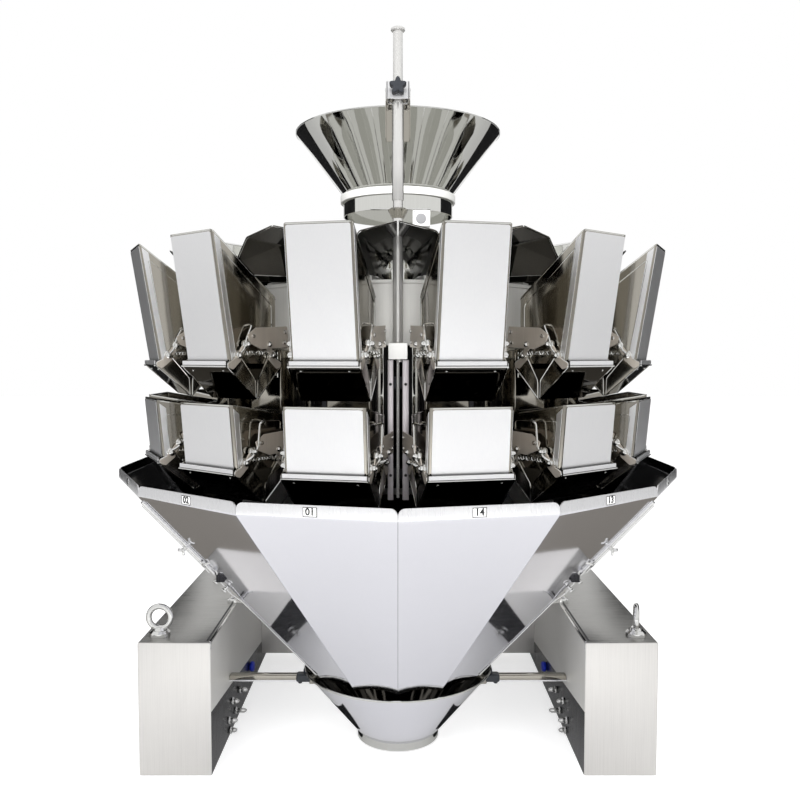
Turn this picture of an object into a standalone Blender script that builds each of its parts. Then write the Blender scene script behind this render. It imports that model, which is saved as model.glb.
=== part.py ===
# Fourteen-head weigher, in metres, +Z up, standing on the floor at Z = 0.
# The origin lies on the floor below the machine's middle axis, and the front faces -Y.
# Head 1 is the first to the left of the front seam and the numbers run clockwise seen from above.
# Every head is drawn with its outward direction along -Y and is then turned about Z.

import math

import bmesh
import bpy
from mathutils import Matrix, Vector

# Number of heads and general clearances
HEAD_COUNT = 14
SEAT_GAP = 0.0003
OVERRUN = 0.02
FUSE = 0.001
ROUND_SIDES = 28
HUB_SIDES = 24
PIN_SIDES = 6

# Base beams and rear cross box
BEAM_WIDTH = 0.145
BEAM_HEIGHT = 0.270
BEAM_FRONT = 0.184
BEAM_REAR = 0.520
BEAM_INNER_X = 0.371
CROSS_DEPTH = 0.104
CROSS_HEIGHT = 0.220
CROSS_LIFT = 0.030

# Lifting eye bolts on the beams
EYE_INSET_FRONT = 0.045
EYE_INSET_REAR = 0.060
EYE_OFFSET = 0.040
EYE_RING_RADIUS = 0.0225
EYE_WIRE_RADIUS = 0.006
EYE_COLLAR_RADIUS = 0.021
EYE_COLLAR_HEIGHT = 0.012
EYE_RING_SIDES = 14
EYE_WIRE_SIDES = 6

# Drive drum and feeder drum
DRUM_APOTHEM = 0.310
DRUM_BOTTOM = 0.600
DRUM_TOP = 0.856
FEEDER_DRUM_PROUD = 0.005
FEEDER_DRUM_RADIUS = DRUM_APOTHEM + FEEDER_DRUM_PROUD
FEEDER_DRUM_TOP = 0.966
FEEDER_PLATE_PROUD = 0.006
FEEDER_PLATE_RADIUS = FEEDER_DRUM_RADIUS + FEEDER_PLATE_PROUD
FEEDER_PLATE_THICKNESS = 0.006
VIBRATOR_RADIUS_IN = 0.215
VIBRATOR_RADIUS_OUT = 0.285
VIBRATOR_WIDTH = 0.034

# Feeder pans and dispersion cone
PAN_INNER = 0.150
PAN_OUTER = 0.462
PAN_KEEL_INNER_Z = 0.992
PAN_KEEL_OUTER_Z = 0.978
PAN_WALL = 0.0025
PAN_GAP = 0.004
PAN_MAST_CLEARANCE = 0.005
PAN_KNEE_HALF_INNER = 0.016
PAN_KNEE_HALF_OUTER = 0.040
PAN_KNEE_RISE_INNER = 0.030
PAN_KNEE_RISE_OUTER = 0.044
PAN_WING_RISE_INNER = 0.040
PAN_WING_RISE_OUTER = 0.072
PAN_HUB_OUTER = 0.172
PAN_HUB_INNER = 0.120
PAN_HUB_BOTTOM = 0.984
CONE_RADIUS = 0.192
CONE_SKIRT = 0.012
CONE_BASE_Z = 1.0345
CONE_RISE = 0.0655
CONE_APEX_Z = CONE_BASE_Z + CONE_RISE
CONE_TIP_RADIUS = 0.012
CONE_STEM_RADIUS = 0.050

# Leg frame: four radial plates at seams between chutes and the ring under the drum
LEG_PLATE = 0.010
LEG_NECK_R = 0.330
LEG_RING_OUTER = 0.290
LEG_RING_INNER = 0.215
LEG_RING_THICKNESS = 0.016
LEG_SIDE_SEAMS = (4, 10)
LEG_SIDE_FOOT_INNER = 0.340
LEG_SIDE_FOOT_OUTER = 0.392
LEG_SIDE_SHOULDER_Z = 0.420
LEG_SIDE_ELBOW_Z = 0.400
LEG_REAR_SEAMS = (5, 9)
LEG_REAR_FOOT_INNER = 0.470
LEG_REAR_FOOT_OUTER = 0.545
LEG_REAR_SHOULDER_Z = 0.345
LEG_REAR_ELBOW_Z = 0.300

# Drive boxes behind the buckets
DRIVE_DEPTH = 0.074
DRIVE_OUTER = DRUM_APOTHEM + DRIVE_DEPTH
DRIVE_HALF_WIDTH = 0.040
DRIVE_BOTTOM = 0.668
DRIVE_TOP = 0.850
HANGER_HALF_SPREAD = 0.028
HANGER_THICKNESS = 0.005
HANGER_HEIGHT = 0.040

# Feed buckets
FEED_HANG = 0.023
FEED_MOUTH = 0.105
FEED_LEAN = 0.034
FEED_TIP_INSET = 0.056
FEED_PIVOT_INSET = 0.0155
FEED_FRONT_HEIGHT = 0.216
FEED_BACK_HEIGHT = 0.112
FEED_TIP_DROP = 0.061
FEED_PIVOT_RISE = 0.014
FEED_HALF_WIDTH = 0.0555
FEED_BOTTOM_Z = 0.824
FEED_BACK_R = DRIVE_OUTER + FEED_HANG
FEED_BOTTOM_R = FEED_BACK_R + FEED_MOUTH
FEED_TOP_R = FEED_BOTTOM_R + FEED_LEAN
FEED_TIP_R = FEED_BOTTOM_R - FEED_TIP_INSET
FEED_PIVOT_R = FEED_BOTTOM_R - FEED_PIVOT_INSET
FEED_TOP_Z = FEED_BOTTOM_Z + FEED_FRONT_HEIGHT
FEED_BACK_TOP_Z = FEED_BOTTOM_Z + FEED_BACK_HEIGHT
FEED_TIP_Z = FEED_BOTTOM_Z - FEED_TIP_DROP
FEED_PIVOT_Z = FEED_BOTTOM_Z + FEED_PIVOT_RISE

# Weigh buckets
WEIGH_HANG = 0.016
WEIGH_MOUTH = 0.111
WEIGH_LEAN = 0.010
WEIGH_TIP_INSET = 0.0575
WEIGH_PIVOT_INSET = 0.0155
WEIGH_FRONT_HEIGHT = 0.111
WEIGH_BACK_HEIGHT = 0.0915
WEIGH_TIP_DROP = 0.0585
WEIGH_PIVOT_RISE = 0.0135
WEIGH_HALF_WIDTH = 0.0687
WEIGH_BOTTOM_Z = 0.6465
WEIGH_BACK_R = DRIVE_OUTER + WEIGH_HANG
WEIGH_BOTTOM_R = WEIGH_BACK_R + WEIGH_MOUTH
WEIGH_TOP_R = WEIGH_BOTTOM_R + WEIGH_LEAN
WEIGH_TIP_R = WEIGH_BOTTOM_R - WEIGH_TIP_INSET
WEIGH_PIVOT_R = WEIGH_BOTTOM_R - WEIGH_PIVOT_INSET
WEIGH_TOP_Z = WEIGH_BOTTOM_Z + WEIGH_FRONT_HEIGHT
WEIGH_BACK_TOP_Z = WEIGH_BOTTOM_Z + WEIGH_BACK_HEIGHT
WEIGH_TIP_Z = WEIGH_BOTTOM_Z - WEIGH_TIP_DROP
WEIGH_PIVOT_Z = WEIGH_BOTTOM_Z + WEIGH_PIVOT_RISE

# Walls, gates and pins shared by both kinds of bucket
BUCKET_WALL = 0.0025
GATE_PLATE = 0.003
GATE_DROP = 0.0055
GATE_LIP = 0.006
CHEEK_PLATE = 0.0025
CHEEK_GAP = 0.0008
TIP_HALF_GAP = 0.0012
PIN_RADIUS = 0.004
PIN_PROUD = 0.0025
PIN_CLEARANCE = 0.0003
BOSS_MARGIN = 0.0065
BOSS_CREST_SHARES = (0.4, 0.6)
CHEEK_NECK_SHARE = 0.62

# Discharge chute ring
CHUTE_RIM_MARGIN = 0.069
CHUTE_TOP_CORNER = WEIGH_BOTTOM_R + CHUTE_RIM_MARGIN
CHUTE_TOP_Z = 0.611
CHUTE_FLANGE = 0.020
CHUTE_BOTTOM_CORNER = 0.199
CHUTE_BOTTOM_Z = 0.172
CHUTE_WALL = 0.0025
CHUTE_SLOT_CLEARANCE = 0.0004

# Discharge funnel and its two bars
OUTLET_REACH = 0.006
OUTLET_RIM_RADIUS = CHUTE_BOTTOM_CORNER + OUTLET_REACH
OUTLET_RIM_Z = 0.161
OUTLET_NECK_RADIUS = 0.0894
OUTLET_NECK_Z = 0.020
OUTLET_END_Z = 0.004
OUTLET_WALL = 0.0025
LUG_HALF_WIDTH = 0.012
LUG_BOTTOM = 0.116
LUG_TOP = 0.142
LUG_INSET = 0.009
LUG_OUTER = OUTLET_RIM_RADIUS - LUG_INSET
BAR_HALF_WIDTH = 0.010
BAR_BOTTOM = 0.122
BAR_TOP = 0.136

# Infeed funnel and its white collar
INFEED_DROP = 0.032
INFEED_NECK_LENGTH = 0.046
INFEED_CONE_HEIGHT = 0.128
INFEED_RIM_RADIUS = 0.217
INFEED_NECK_RADIUS = 0.1165
INFEED_NECK_BOTTOM_Z = CONE_APEX_Z + INFEED_DROP
INFEED_NECK_TOP_Z = INFEED_NECK_BOTTOM_Z + INFEED_NECK_LENGTH
INFEED_RIM_Z = INFEED_NECK_TOP_Z + INFEED_CONE_HEIGHT
INFEED_WALL = 0.0025
COLLAR_WALL = 0.006
COLLAR_HEIGHT = 0.016
COLLAR_DROP = 0.001
COLLAR_BOTTOM_Z = INFEED_NECK_TOP_Z - COLLAR_DROP - COLLAR_HEIGHT

# Mast at the front seam
MAST_STANDOFF = 0.045
MAST_R = DRUM_APOTHEM + MAST_STANDOFF
MAST_BLOCK_WIDTH = 0.033
MAST_BLOCK_DEPTH = 0.034
MAST_BLOCK_BOTTOM = 0.831
MAST_BLOCK_HEIGHT = 0.028
MAST_ROD_RADIUS = 0.0085
MAST_TUBE_RADIUS = 0.0100
CLAMP_DROP = 0.0365
MAST_TUBE_TOP = INFEED_RIM_Z - CLAMP_DROP
MAST_TUBE_LENGTH = 0.1665
MAST_TUBE_BOTTOM = MAST_TUBE_TOP - MAST_TUBE_LENGTH
MAST_HUB_RADIUS = 0.018
MAST_HUB_HEIGHT = 0.018
MAST_HUB_DROP = 0.013
MAST_HUB_BOTTOM = MAST_TUBE_BOTTOM - MAST_HUB_DROP - MAST_HUB_HEIGHT
MAST_ROD_RISE = 0.1235
MAST_TOP = MAST_TUBE_TOP + MAST_ROD_RISE
MAST_SIDES = 12
SENSOR_SIZE = 0.036
SENSOR_OFFSET = 0.045
SENSOR_DEPTH = 0.030
SENSOR_DROP = 0.019
SENSOR_BOTTOM = MAST_HUB_BOTTOM - SENSOR_DROP
SENSOR_ARM = 0.008
RAIL_SPREAD = 0.028
RAIL_WIDTH = 0.006
RAIL_DEPTH = 0.020
RAIL_BOTTOM = 0.586
RAIL_TIE_HEIGHT = 0.020
RAIL_TIE_Z = (0.620, 0.780)

# Funnel arm and its clamp on the mast
CLAMP_WIDTH = 0.042
CLAMP_DEPTH = 0.036
CLAMP_HEIGHT = 0.030
CLAMP_BORE_CLEARANCE = 0.0004
ARM_WIDTH = 0.024
ARM_HEIGHT = 0.014
KNOB_RADIUS = 0.015
KNOB_LENGTH = 0.016
KNOB_NECK_RADIUS = 0.006
KNOB_NECK_LENGTH = 0.010

PITCH = 2 * math.pi / HEAD_COUNT
HALF_PITCH = PITCH / 2
SMOOTH_ANGLE = math.radians(32)
SEAM_RATIO = math.tan(HALF_PITCH)

# Each finish: base colour, roughness, metallic
FINISHES = {
    "polished_steel": ((0.78, 0.78, 0.77), 0.10, 1.0),
    "satin_steel": ((0.72, 0.72, 0.71), 0.32, 1.0),
    "brushed_steel": ((0.66, 0.66, 0.66), 0.38, 1.0),
    "dark_steel": ((0.16, 0.16, 0.17), 0.35, 1.0),
    "white_plastic": ((0.88, 0.88, 0.86), 0.42, 0.0),
}


def clear_scene():
    for item in list(bpy.data.objects):
        bpy.data.objects.remove(item, do_unlink=True)


def finish_material(name):
    material = bpy.data.materials.get(name)
    if material is None:
        colour, roughness, metallic = FINISHES[name]
        material = bpy.data.materials.new(name)
        material.use_nodes = True
        shader = material.node_tree.nodes["Principled BSDF"]
        shader.inputs["Base Color"].default_value = (*colour, 1.0)
        shader.inputs["Roughness"].default_value = roughness
        shader.inputs["Metallic"].default_value = metallic
    return material


def mesh_from(bm, name):
    bmesh.ops.remove_doubles(bm, verts=bm.verts, dist=SEAT_GAP / 100)
    bmesh.ops.recalc_face_normals(bm, faces=bm.faces)
    mesh = bpy.data.meshes.new(name)
    bm.to_mesh(mesh)
    bm.free()
    return mesh


def place(mesh, name, finish, location=(0, 0, 0), turn=0.0):
    """Links a mesh as a named part with its finish."""
    item = bpy.data.objects.new(name, mesh)
    bpy.context.scene.collection.objects.link(item)
    item.location = location
    item.rotation_euler = (0, 0, turn)
    mesh.materials.clear()
    mesh.materials.append(finish_material(finish))
    mesh.shade_smooth()
    mesh.set_sharp_from_angle(angle=SMOOTH_ANGLE)
    return item


def plate_mesh(outline, half_from, half_to):
    """A flat plate: an outline of (radius, height) points, thick from one x to another."""
    bm = bmesh.new()
    verts = [bm.verts.new((half_from, -r, z)) for r, z in outline]
    face = bm.faces.new(verts)
    grown = bmesh.ops.extrude_face_region(bm, geom=[face])
    moved = [v for v in grown["geom"] if isinstance(v, bmesh.types.BMVert)]
    bmesh.ops.translate(bm, verts=moved, vec=(half_to - half_from, 0, 0))
    return mesh_from(bm, "plate")


def block_mesh(low, high):
    """A square block between two corners."""
    bm = bmesh.new()
    size = Vector(high) - Vector(low)
    middle = (Vector(high) + Vector(low)) / 2
    made = bmesh.ops.create_cube(bm, size=1.0)
    bmesh.ops.scale(bm, verts=made["verts"], vec=size)
    bmesh.ops.translate(bm, verts=made["verts"], vec=middle)
    return mesh_from(bm, "block")


def rod_mesh(radius, start, end, sides):
    """A round rod between two points."""
    bm = bmesh.new()
    axis = Vector(end) - Vector(start)
    made = bmesh.ops.create_cone(
        bm, cap_ends=True, segments=sides, radius1=radius, radius2=radius, depth=axis.length
    )
    turn = axis.to_track_quat("Z", "Y").to_matrix()
    bmesh.ops.rotate(bm, verts=made["verts"], cent=(0, 0, 0), matrix=turn)
    bmesh.ops.translate(bm, verts=made["verts"], vec=(Vector(start) + Vector(end)) / 2)
    return mesh_from(bm, "rod")


def turned_mesh(profile, sides, angle=2 * math.pi, start=0.0):
    """Turns a closed outline of (radius, height) points about Z, from an angle off the front."""
    bm = bmesh.new()
    verts = [bm.verts.new((r * math.sin(start), -r * math.cos(start), z)) for r, z in profile]
    edges = []
    for index, vert in enumerate(verts):
        after = (index + 1) % len(verts)
        if profile[index][0] > 0 or profile[after][0] > 0:
            edges.append(bm.edges.new((vert, verts[after])))
    full = angle > 2 * math.pi - HALF_PITCH
    bmesh.ops.spin(
        bm, geom=edges, cent=(0, 0, 0), axis=(0, 0, 1), angle=angle, steps=sides, use_merge=full
    )
    bmesh.ops.remove_doubles(bm, verts=bm.verts, dist=SEAT_GAP / 100)
    if not full:
        rims = [e for e in bm.edges if e.is_boundary]
        bmesh.ops.holes_fill(bm, edges=rims, sides=0)
    return mesh_from(bm, "turned")


def combine(base, others, operation="UNION"):
    """Joins meshes to a base mesh, or cuts them from it, one after another."""
    host = bpy.data.objects.new("work_host", base)
    bpy.context.scene.collection.objects.link(host)
    helpers = []
    for index, mesh in enumerate(others):
        tool = bpy.data.objects.new("work_tool_%d" % index, mesh)
        bpy.context.scene.collection.objects.link(tool)
        helpers.append(tool)
        step = host.modifiers.new("step_%d" % index, "BOOLEAN")
        step.operation = operation
        step.solver = "EXACT"
        step.object = tool
    bpy.context.view_layer.update()
    graph = bpy.context.evaluated_depsgraph_get()
    result = bpy.data.meshes.new_from_object(host.evaluated_get(graph))
    for item in [host] + helpers:
        bpy.data.objects.remove(item, do_unlink=True)
    return result


def fuse(meshes):
    return combine(meshes[0], meshes[1:], "UNION")


def cut(base, meshes):
    return combine(base, meshes, "DIFFERENCE")


def turned_copy(mesh, angle):
    """A copy of a mesh turned about the machine's axis."""
    copy = mesh.copy()
    copy.transform(Matrix.Rotation(angle, 4, "Z"))
    return copy


def head_angle(number):
    """The angle of a head off the front, with head 1 to the left of the front seam."""
    return -(number - 0.5) * PITCH


def along(start, end, share):
    return start + (end - start) * share


# Buckets: the bucket's own sizes go together in one small description

FEED = {
    "top_r": FEED_TOP_R,
    "top_z": FEED_TOP_Z,
    "bottom_r": FEED_BOTTOM_R,
    "bottom_z": FEED_BOTTOM_Z,
    "back_r": FEED_BACK_R,
    "back_top_z": FEED_BACK_TOP_Z,
    "half": FEED_HALF_WIDTH,
    "tip_r": FEED_TIP_R,
    "tip_z": FEED_TIP_Z,
    "pivot_r": FEED_PIVOT_R,
    "pivot_z": FEED_PIVOT_Z,
}

WEIGH = {
    "top_r": WEIGH_TOP_R,
    "top_z": WEIGH_TOP_Z,
    "bottom_r": WEIGH_BOTTOM_R,
    "bottom_z": WEIGH_BOTTOM_Z,
    "back_r": WEIGH_BACK_R,
    "back_top_z": WEIGH_BACK_TOP_Z,
    "half": WEIGH_HALF_WIDTH,
    "tip_r": WEIGH_TIP_R,
    "tip_z": WEIGH_TIP_Z,
    "pivot_r": WEIGH_PIVOT_R,
    "pivot_z": WEIGH_PIVOT_Z,
}


def bucket_shell(b):
    """The four walls of a bucket, open above and below."""
    outer = plate_mesh(
        [
            (b["top_r"], b["top_z"]),
            (b["bottom_r"], b["bottom_z"]),
            (b["back_r"], b["bottom_z"]),
            (b["back_r"], b["back_top_z"]),
        ],
        -b["half"],
        b["half"],
    )
    lean = (b["top_r"] - b["bottom_r"]) / (b["top_z"] - b["bottom_z"])
    high = b["top_z"] + OVERRUN
    low = b["bottom_z"] - OVERRUN
    inner = plate_mesh(
        [
            (b["bottom_r"] - BUCKET_WALL + lean * (high - b["bottom_z"]), high),
            (b["bottom_r"] - BUCKET_WALL + lean * (low - b["bottom_z"]), low),
            (b["back_r"] + BUCKET_WALL, low),
            (b["back_r"] + BUCKET_WALL, high),
        ],
        -b["half"] + BUCKET_WALL,
        b["half"] - BUCKET_WALL,
    )
    return cut(outer, [inner])


def cheek_outline(b, near, foot_r, boss_r):
    """The side cheek of a gate: from its tip, up beside the bucket, round the pin and down."""
    margin = BOSS_MARGIN if foot_r > near else -BOSS_MARGIN
    outer_share, inner_share = BOSS_CREST_SHARES
    crest_z = b["pivot_z"] + BOSS_MARGIN
    return [
        (near, b["tip_z"]),
        (foot_r, b["bottom_z"] - GATE_DROP),
        (boss_r + margin, b["pivot_z"]),
        (boss_r + margin * outer_share, crest_z),
        (boss_r - margin * inner_share, crest_z),
        (near, along(b["tip_z"], b["pivot_z"], CHEEK_NECK_SHARE)),
    ]


def gate_parts(b, outward):
    """The sloping plate and the two cheeks of one gate; outward is 1 or -1."""
    if outward > 0:
        foot_r = b["bottom_r"] + GATE_LIP
        near = b["tip_r"] + TIP_HALF_GAP
        boss_r = b["pivot_r"]
    else:
        foot_r = b["back_r"] - GATE_LIP
        near = b["tip_r"] - TIP_HALF_GAP
        boss_r = b["back_r"] + (b["bottom_r"] - b["pivot_r"])
    foot_z = b["bottom_z"] - GATE_DROP
    slope = Vector((foot_r - near, foot_z - b["tip_z"])).normalized()
    rise = Vector((-slope.y, slope.x)) * outward * GATE_PLATE
    across = b["half"] + CHEEK_GAP + CHEEK_PLATE
    plate = plate_mesh(
        [
            (near, b["tip_z"]),
            (foot_r, foot_z),
            (foot_r + rise.x, foot_z + rise.y),
            (near, b["tip_z"] + GATE_PLATE / max(abs(slope.x), FUSE)),
        ],
        -across,
        across,
    )
    outline = cheek_outline(b, near, foot_r, boss_r)
    inside = b["half"] + (CHEEK_GAP if outward > 0 else -FUSE)
    right = plate_mesh(outline, inside, across)
    left = plate_mesh(outline, -across, -inside)
    return [plate, left, right]


def pin_parts(b):
    """Two pins that stand out of the bucket's side walls and carry the gate's cheeks."""
    reach = b["half"] + CHEEK_GAP + CHEEK_PLATE + PIN_PROUD
    pins = []
    for side in (-1, 1):
        start = (side * (b["half"] - FUSE), -b["pivot_r"], b["pivot_z"])
        end = (side * reach, -b["pivot_r"], b["pivot_z"])
        pins.append(rod_mesh(PIN_RADIUS, start, end, PIN_SIDES))
    return pins


def moving_gate_mesh(b):
    """The outer gate with its pin holes, drawn about the axis of its pins."""
    solid = fuse(gate_parts(b, 1))
    reach = b["half"] + OVERRUN
    hole_radius = (PIN_RADIUS + PIN_CLEARANCE) / math.cos(math.pi / PIN_SIDES)
    start = (-reach, -b["pivot_r"], b["pivot_z"])
    end = (reach, -b["pivot_r"], b["pivot_z"])
    solid = cut(solid, [rod_mesh(hole_radius, start, end, PIN_SIDES)])
    solid.transform(Matrix.Translation((0, b["pivot_r"], -b["pivot_z"])))
    return solid


def hanger_parts(b, middle_z):
    """Two flat hangers from the drive box to the bucket's back wall."""
    parts = []
    for side in (-1, 1):
        centre = side * HANGER_HALF_SPREAD
        low = (centre - HANGER_THICKNESS / 2, -(b["back_r"] + FUSE), middle_z - HANGER_HEIGHT / 2)
        high = (centre + HANGER_THICKNESS / 2, -(DRIVE_OUTER - FUSE), middle_z + HANGER_HEIGHT / 2)
        parts.append(block_mesh(low, high))
    return parts


def head_mesh():
    """One head: drive box, hangers, feed bucket and weigh bucket with their inner gates."""
    drive = block_mesh(
        (-DRIVE_HALF_WIDTH, -DRIVE_OUTER, DRIVE_BOTTOM),
        (DRIVE_HALF_WIDTH, -(DRUM_APOTHEM + SEAT_GAP), DRIVE_TOP),
    )
    parts = [drive]
    feed_hang_z = (FEED_BOTTOM_Z + DRIVE_TOP) / 2
    weigh_hang_z = (DRIVE_BOTTOM + WEIGH_BACK_TOP_Z) / 2
    for b, hang_z in ((FEED, feed_hang_z), (WEIGH, weigh_hang_z)):
        parts.append(bucket_shell(b))
        parts += hanger_parts(b, hang_z)
        parts += gate_parts(b, -1)
        parts += pin_parts(b)
    return fuse(parts)


def build_heads():
    head = head_mesh()
    feed_gate = moving_gate_mesh(FEED)
    weigh_gate = moving_gate_mesh(WEIGH)
    for number in range(1, HEAD_COUNT + 1):
        angle = head_angle(number)
        place(head, "head_%02d" % number, "satin_steel", turn=angle)
        for kind, b, mesh in (("feed", FEED, feed_gate), ("weigh", WEIGH, weigh_gate)):
            spot = (b["pivot_r"] * math.sin(angle), -b["pivot_r"] * math.cos(angle), b["pivot_z"])
            place(mesh, "%s_gate_%02d" % (kind, number), "polished_steel", spot, angle)


# Base


def eye_bolt_parts(x, y):
    """A lifting eye: a collar on the beam and a ring above it."""
    collar_top = BEAM_HEIGHT + EYE_COLLAR_HEIGHT
    collar = rod_mesh(
        EYE_COLLAR_RADIUS, (x, y, BEAM_HEIGHT - FUSE), (x, y, collar_top), EYE_RING_SIDES
    )
    bm = bmesh.new()
    made = bmesh.ops.create_circle(bm, cap_ends=False, segments=EYE_WIRE_SIDES, radius=EYE_WIRE_RADIUS)
    bmesh.ops.translate(bm, verts=made["verts"], vec=(EYE_RING_RADIUS, 0, 0))
    bmesh.ops.spin(
        bm,
        geom=bm.edges[:],
        cent=(0, 0, 0),
        axis=(0, 1, 0),
        angle=2 * math.pi,
        steps=EYE_RING_SIDES,
        use_merge=True,
    )
    ring_z = collar_top + EYE_RING_RADIUS + EYE_WIRE_RADIUS / 2
    bmesh.ops.translate(bm, verts=bm.verts, vec=(x, y, ring_z))
    return [collar, mesh_from(bm, "ring")]


def build_base():
    for name, side in (("base_beam_left", -1), ("base_beam_right", 1)):
        near = side * BEAM_INNER_X
        far = side * (BEAM_INNER_X + BEAM_WIDTH)
        beam = block_mesh((min(near, far), -BEAM_FRONT, 0), (max(near, far), BEAM_REAR, BEAM_HEIGHT))
        eye_x = side * (BEAM_INNER_X + BEAM_WIDTH / 2 + EYE_OFFSET)
        parts = [beam]
        for y in (-BEAM_FRONT + EYE_INSET_FRONT, BEAM_REAR - EYE_INSET_REAR):
            parts += eye_bolt_parts(eye_x, y)
        place(fuse(parts), name, "brushed_steel")
    reach = BEAM_INNER_X - SEAT_GAP
    cross = block_mesh(
        (-reach, BEAM_REAR - CROSS_DEPTH, CROSS_LIFT), (reach, BEAM_REAR, CROSS_LIFT + CROSS_HEIGHT)
    )
    place(cross, "rear_cross_box", "brushed_steel")


# Legs: the side pair stands on the beams' inner edges, the rear pair further back

SIDE_LEG = {
    "seams": LEG_SIDE_SEAMS,
    "foot_inner": LEG_SIDE_FOOT_INNER,
    "foot_outer": LEG_SIDE_FOOT_OUTER,
    "shoulder_z": LEG_SIDE_SHOULDER_Z,
    "elbow_z": LEG_SIDE_ELBOW_Z,
}

REAR_LEG = {
    "seams": LEG_REAR_SEAMS,
    "foot_inner": LEG_REAR_FOOT_INNER,
    "foot_outer": LEG_REAR_FOOT_OUTER,
    "shoulder_z": LEG_REAR_SHOULDER_Z,
    "elbow_z": LEG_REAR_ELBOW_Z,
}


def leg_mesh(leg, grow=0.0):
    """One leg plate, from its foot on a beam to the ring; grow widens it to cut its slot."""
    ring_bottom = DRUM_BOTTOM - SEAT_GAP - LEG_RING_THICKNESS
    outline = [
        (leg["foot_inner"] - grow, BEAM_HEIGHT + SEAT_GAP),
        (leg["foot_outer"] + grow, BEAM_HEIGHT + SEAT_GAP),
        (leg["foot_outer"] + grow, leg["shoulder_z"] + grow),
        (LEG_NECK_R + grow, DRUM_BOTTOM - SEAT_GAP),
        (LEG_RING_INNER, DRUM_BOTTOM - SEAT_GAP),
        (LEG_RING_INNER, ring_bottom - grow),
        (leg["foot_inner"] - grow, leg["elbow_z"] - grow),
    ]
    return plate_mesh(outline, -LEG_PLATE / 2 - grow, LEG_PLATE / 2 + grow)


def build_leg_frame():
    top = DRUM_BOTTOM - SEAT_GAP
    ring = turned_mesh(
        [
            (LEG_RING_OUTER, top),
            (LEG_RING_INNER + FUSE, top),
            (LEG_RING_INNER + FUSE, top - LEG_RING_THICKNESS),
            (LEG_RING_OUTER, top - LEG_RING_THICKNESS),
        ],
        ROUND_SIDES,
    )
    legs = []
    for leg in (SIDE_LEG, REAR_LEG):
        plate = leg_mesh(leg)
        legs += [turned_copy(plate, -seam * PITCH) for seam in leg["seams"]]
    place(fuse([ring] + legs), "leg_frame", "brushed_steel")


# Drums, pans and cone


def build_drums():
    corner = DRUM_APOTHEM / math.cos(HALF_PITCH)
    drum = rod_mesh(corner, (0, 0, DRUM_BOTTOM), (0, 0, DRUM_TOP), HEAD_COUNT)
    parts = [drum]
    for side in (-1, 1):
        x = side * RAIL_SPREAD / 2
        low = (x - RAIL_WIDTH / 2, -(MAST_R + RAIL_DEPTH / 2), RAIL_BOTTOM)
        high = (x + RAIL_WIDTH / 2, -(MAST_R - RAIL_DEPTH / 2), MAST_BLOCK_BOTTOM - SEAT_GAP)
        parts.append(block_mesh(low, high))
    for z in RAIL_TIE_Z:
        low = (-RAIL_SPREAD / 2, -(MAST_R + FUSE), z)
        high = (RAIL_SPREAD / 2, -(DRUM_APOTHEM - FUSE), z + RAIL_TIE_HEIGHT)
        parts.append(block_mesh(low, high))
    place(fuse(parts), "drive_drum", "dark_steel")

    plate_bottom = FEEDER_DRUM_TOP
    plate_top = plate_bottom + FEEDER_PLATE_THICKNESS
    body = turned_mesh(
        [
            (FEEDER_PLATE_RADIUS, plate_top),
            (0, plate_top),
            (0, DRUM_TOP + SEAT_GAP),
            (FEEDER_DRUM_RADIUS, DRUM_TOP + SEAT_GAP),
            (FEEDER_DRUM_RADIUS, plate_bottom),
            (FEEDER_PLATE_RADIUS, plate_bottom),
        ],
        ROUND_SIDES,
    )
    parts = [body]
    keel_slope = (PAN_KEEL_OUTER_Z - PAN_KEEL_INNER_Z) / (PAN_OUTER - PAN_INNER)
    keel_under = PAN_KEEL_INNER_Z + keel_slope * (VIBRATOR_RADIUS_OUT - PAN_INNER)
    top = keel_under - PAN_WALL - SEAT_GAP
    post = block_mesh(
        (-VIBRATOR_WIDTH / 2, -VIBRATOR_RADIUS_OUT, plate_top - FUSE),
        (VIBRATOR_WIDTH / 2, -VIBRATOR_RADIUS_IN, top),
    )
    for number in range(1, HEAD_COUNT + 1):
        parts.append(turned_copy(post, head_angle(number)))
    place(fuse(parts), "feeder_drum", "satin_steel")


def pan_mesh():
    """One feeder pan: a V keel, flared wings, drawn as a loft of two cross-sections."""
    bm = bmesh.new()
    rows = []
    stations = (
        (PAN_INNER, PAN_KEEL_INNER_Z, PAN_KNEE_HALF_INNER, PAN_KNEE_RISE_INNER, PAN_WING_RISE_INNER),
        (PAN_OUTER, PAN_KEEL_OUTER_Z, PAN_KNEE_HALF_OUTER, PAN_KNEE_RISE_OUTER, PAN_WING_RISE_OUTER),
    )
    for r, keel, knee, knee_rise, wing_rise in stations:
        wing = r * SEAM_RATIO - PAN_GAP / 2
        upper = [
            (-wing, keel + wing_rise),
            (-knee, keel + knee_rise),
            (0, keel),
            (knee, keel + knee_rise),
            (wing, keel + wing_rise),
        ]
        lower = [(x, z - PAN_WALL) for x, z in reversed(upper)]
        rows.append([bm.verts.new((x, -r, z)) for x, z in upper + lower])
    loops = []
    for row in rows:
        count = len(row)
        loops += [bm.edges.new((row[i], row[(i + 1) % count])) for i in range(count)]
    bmesh.ops.bridge_loops(bm, edges=loops)
    for row in rows:
        bm.faces.new(row)
    return mesh_from(bm, "pan")


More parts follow.
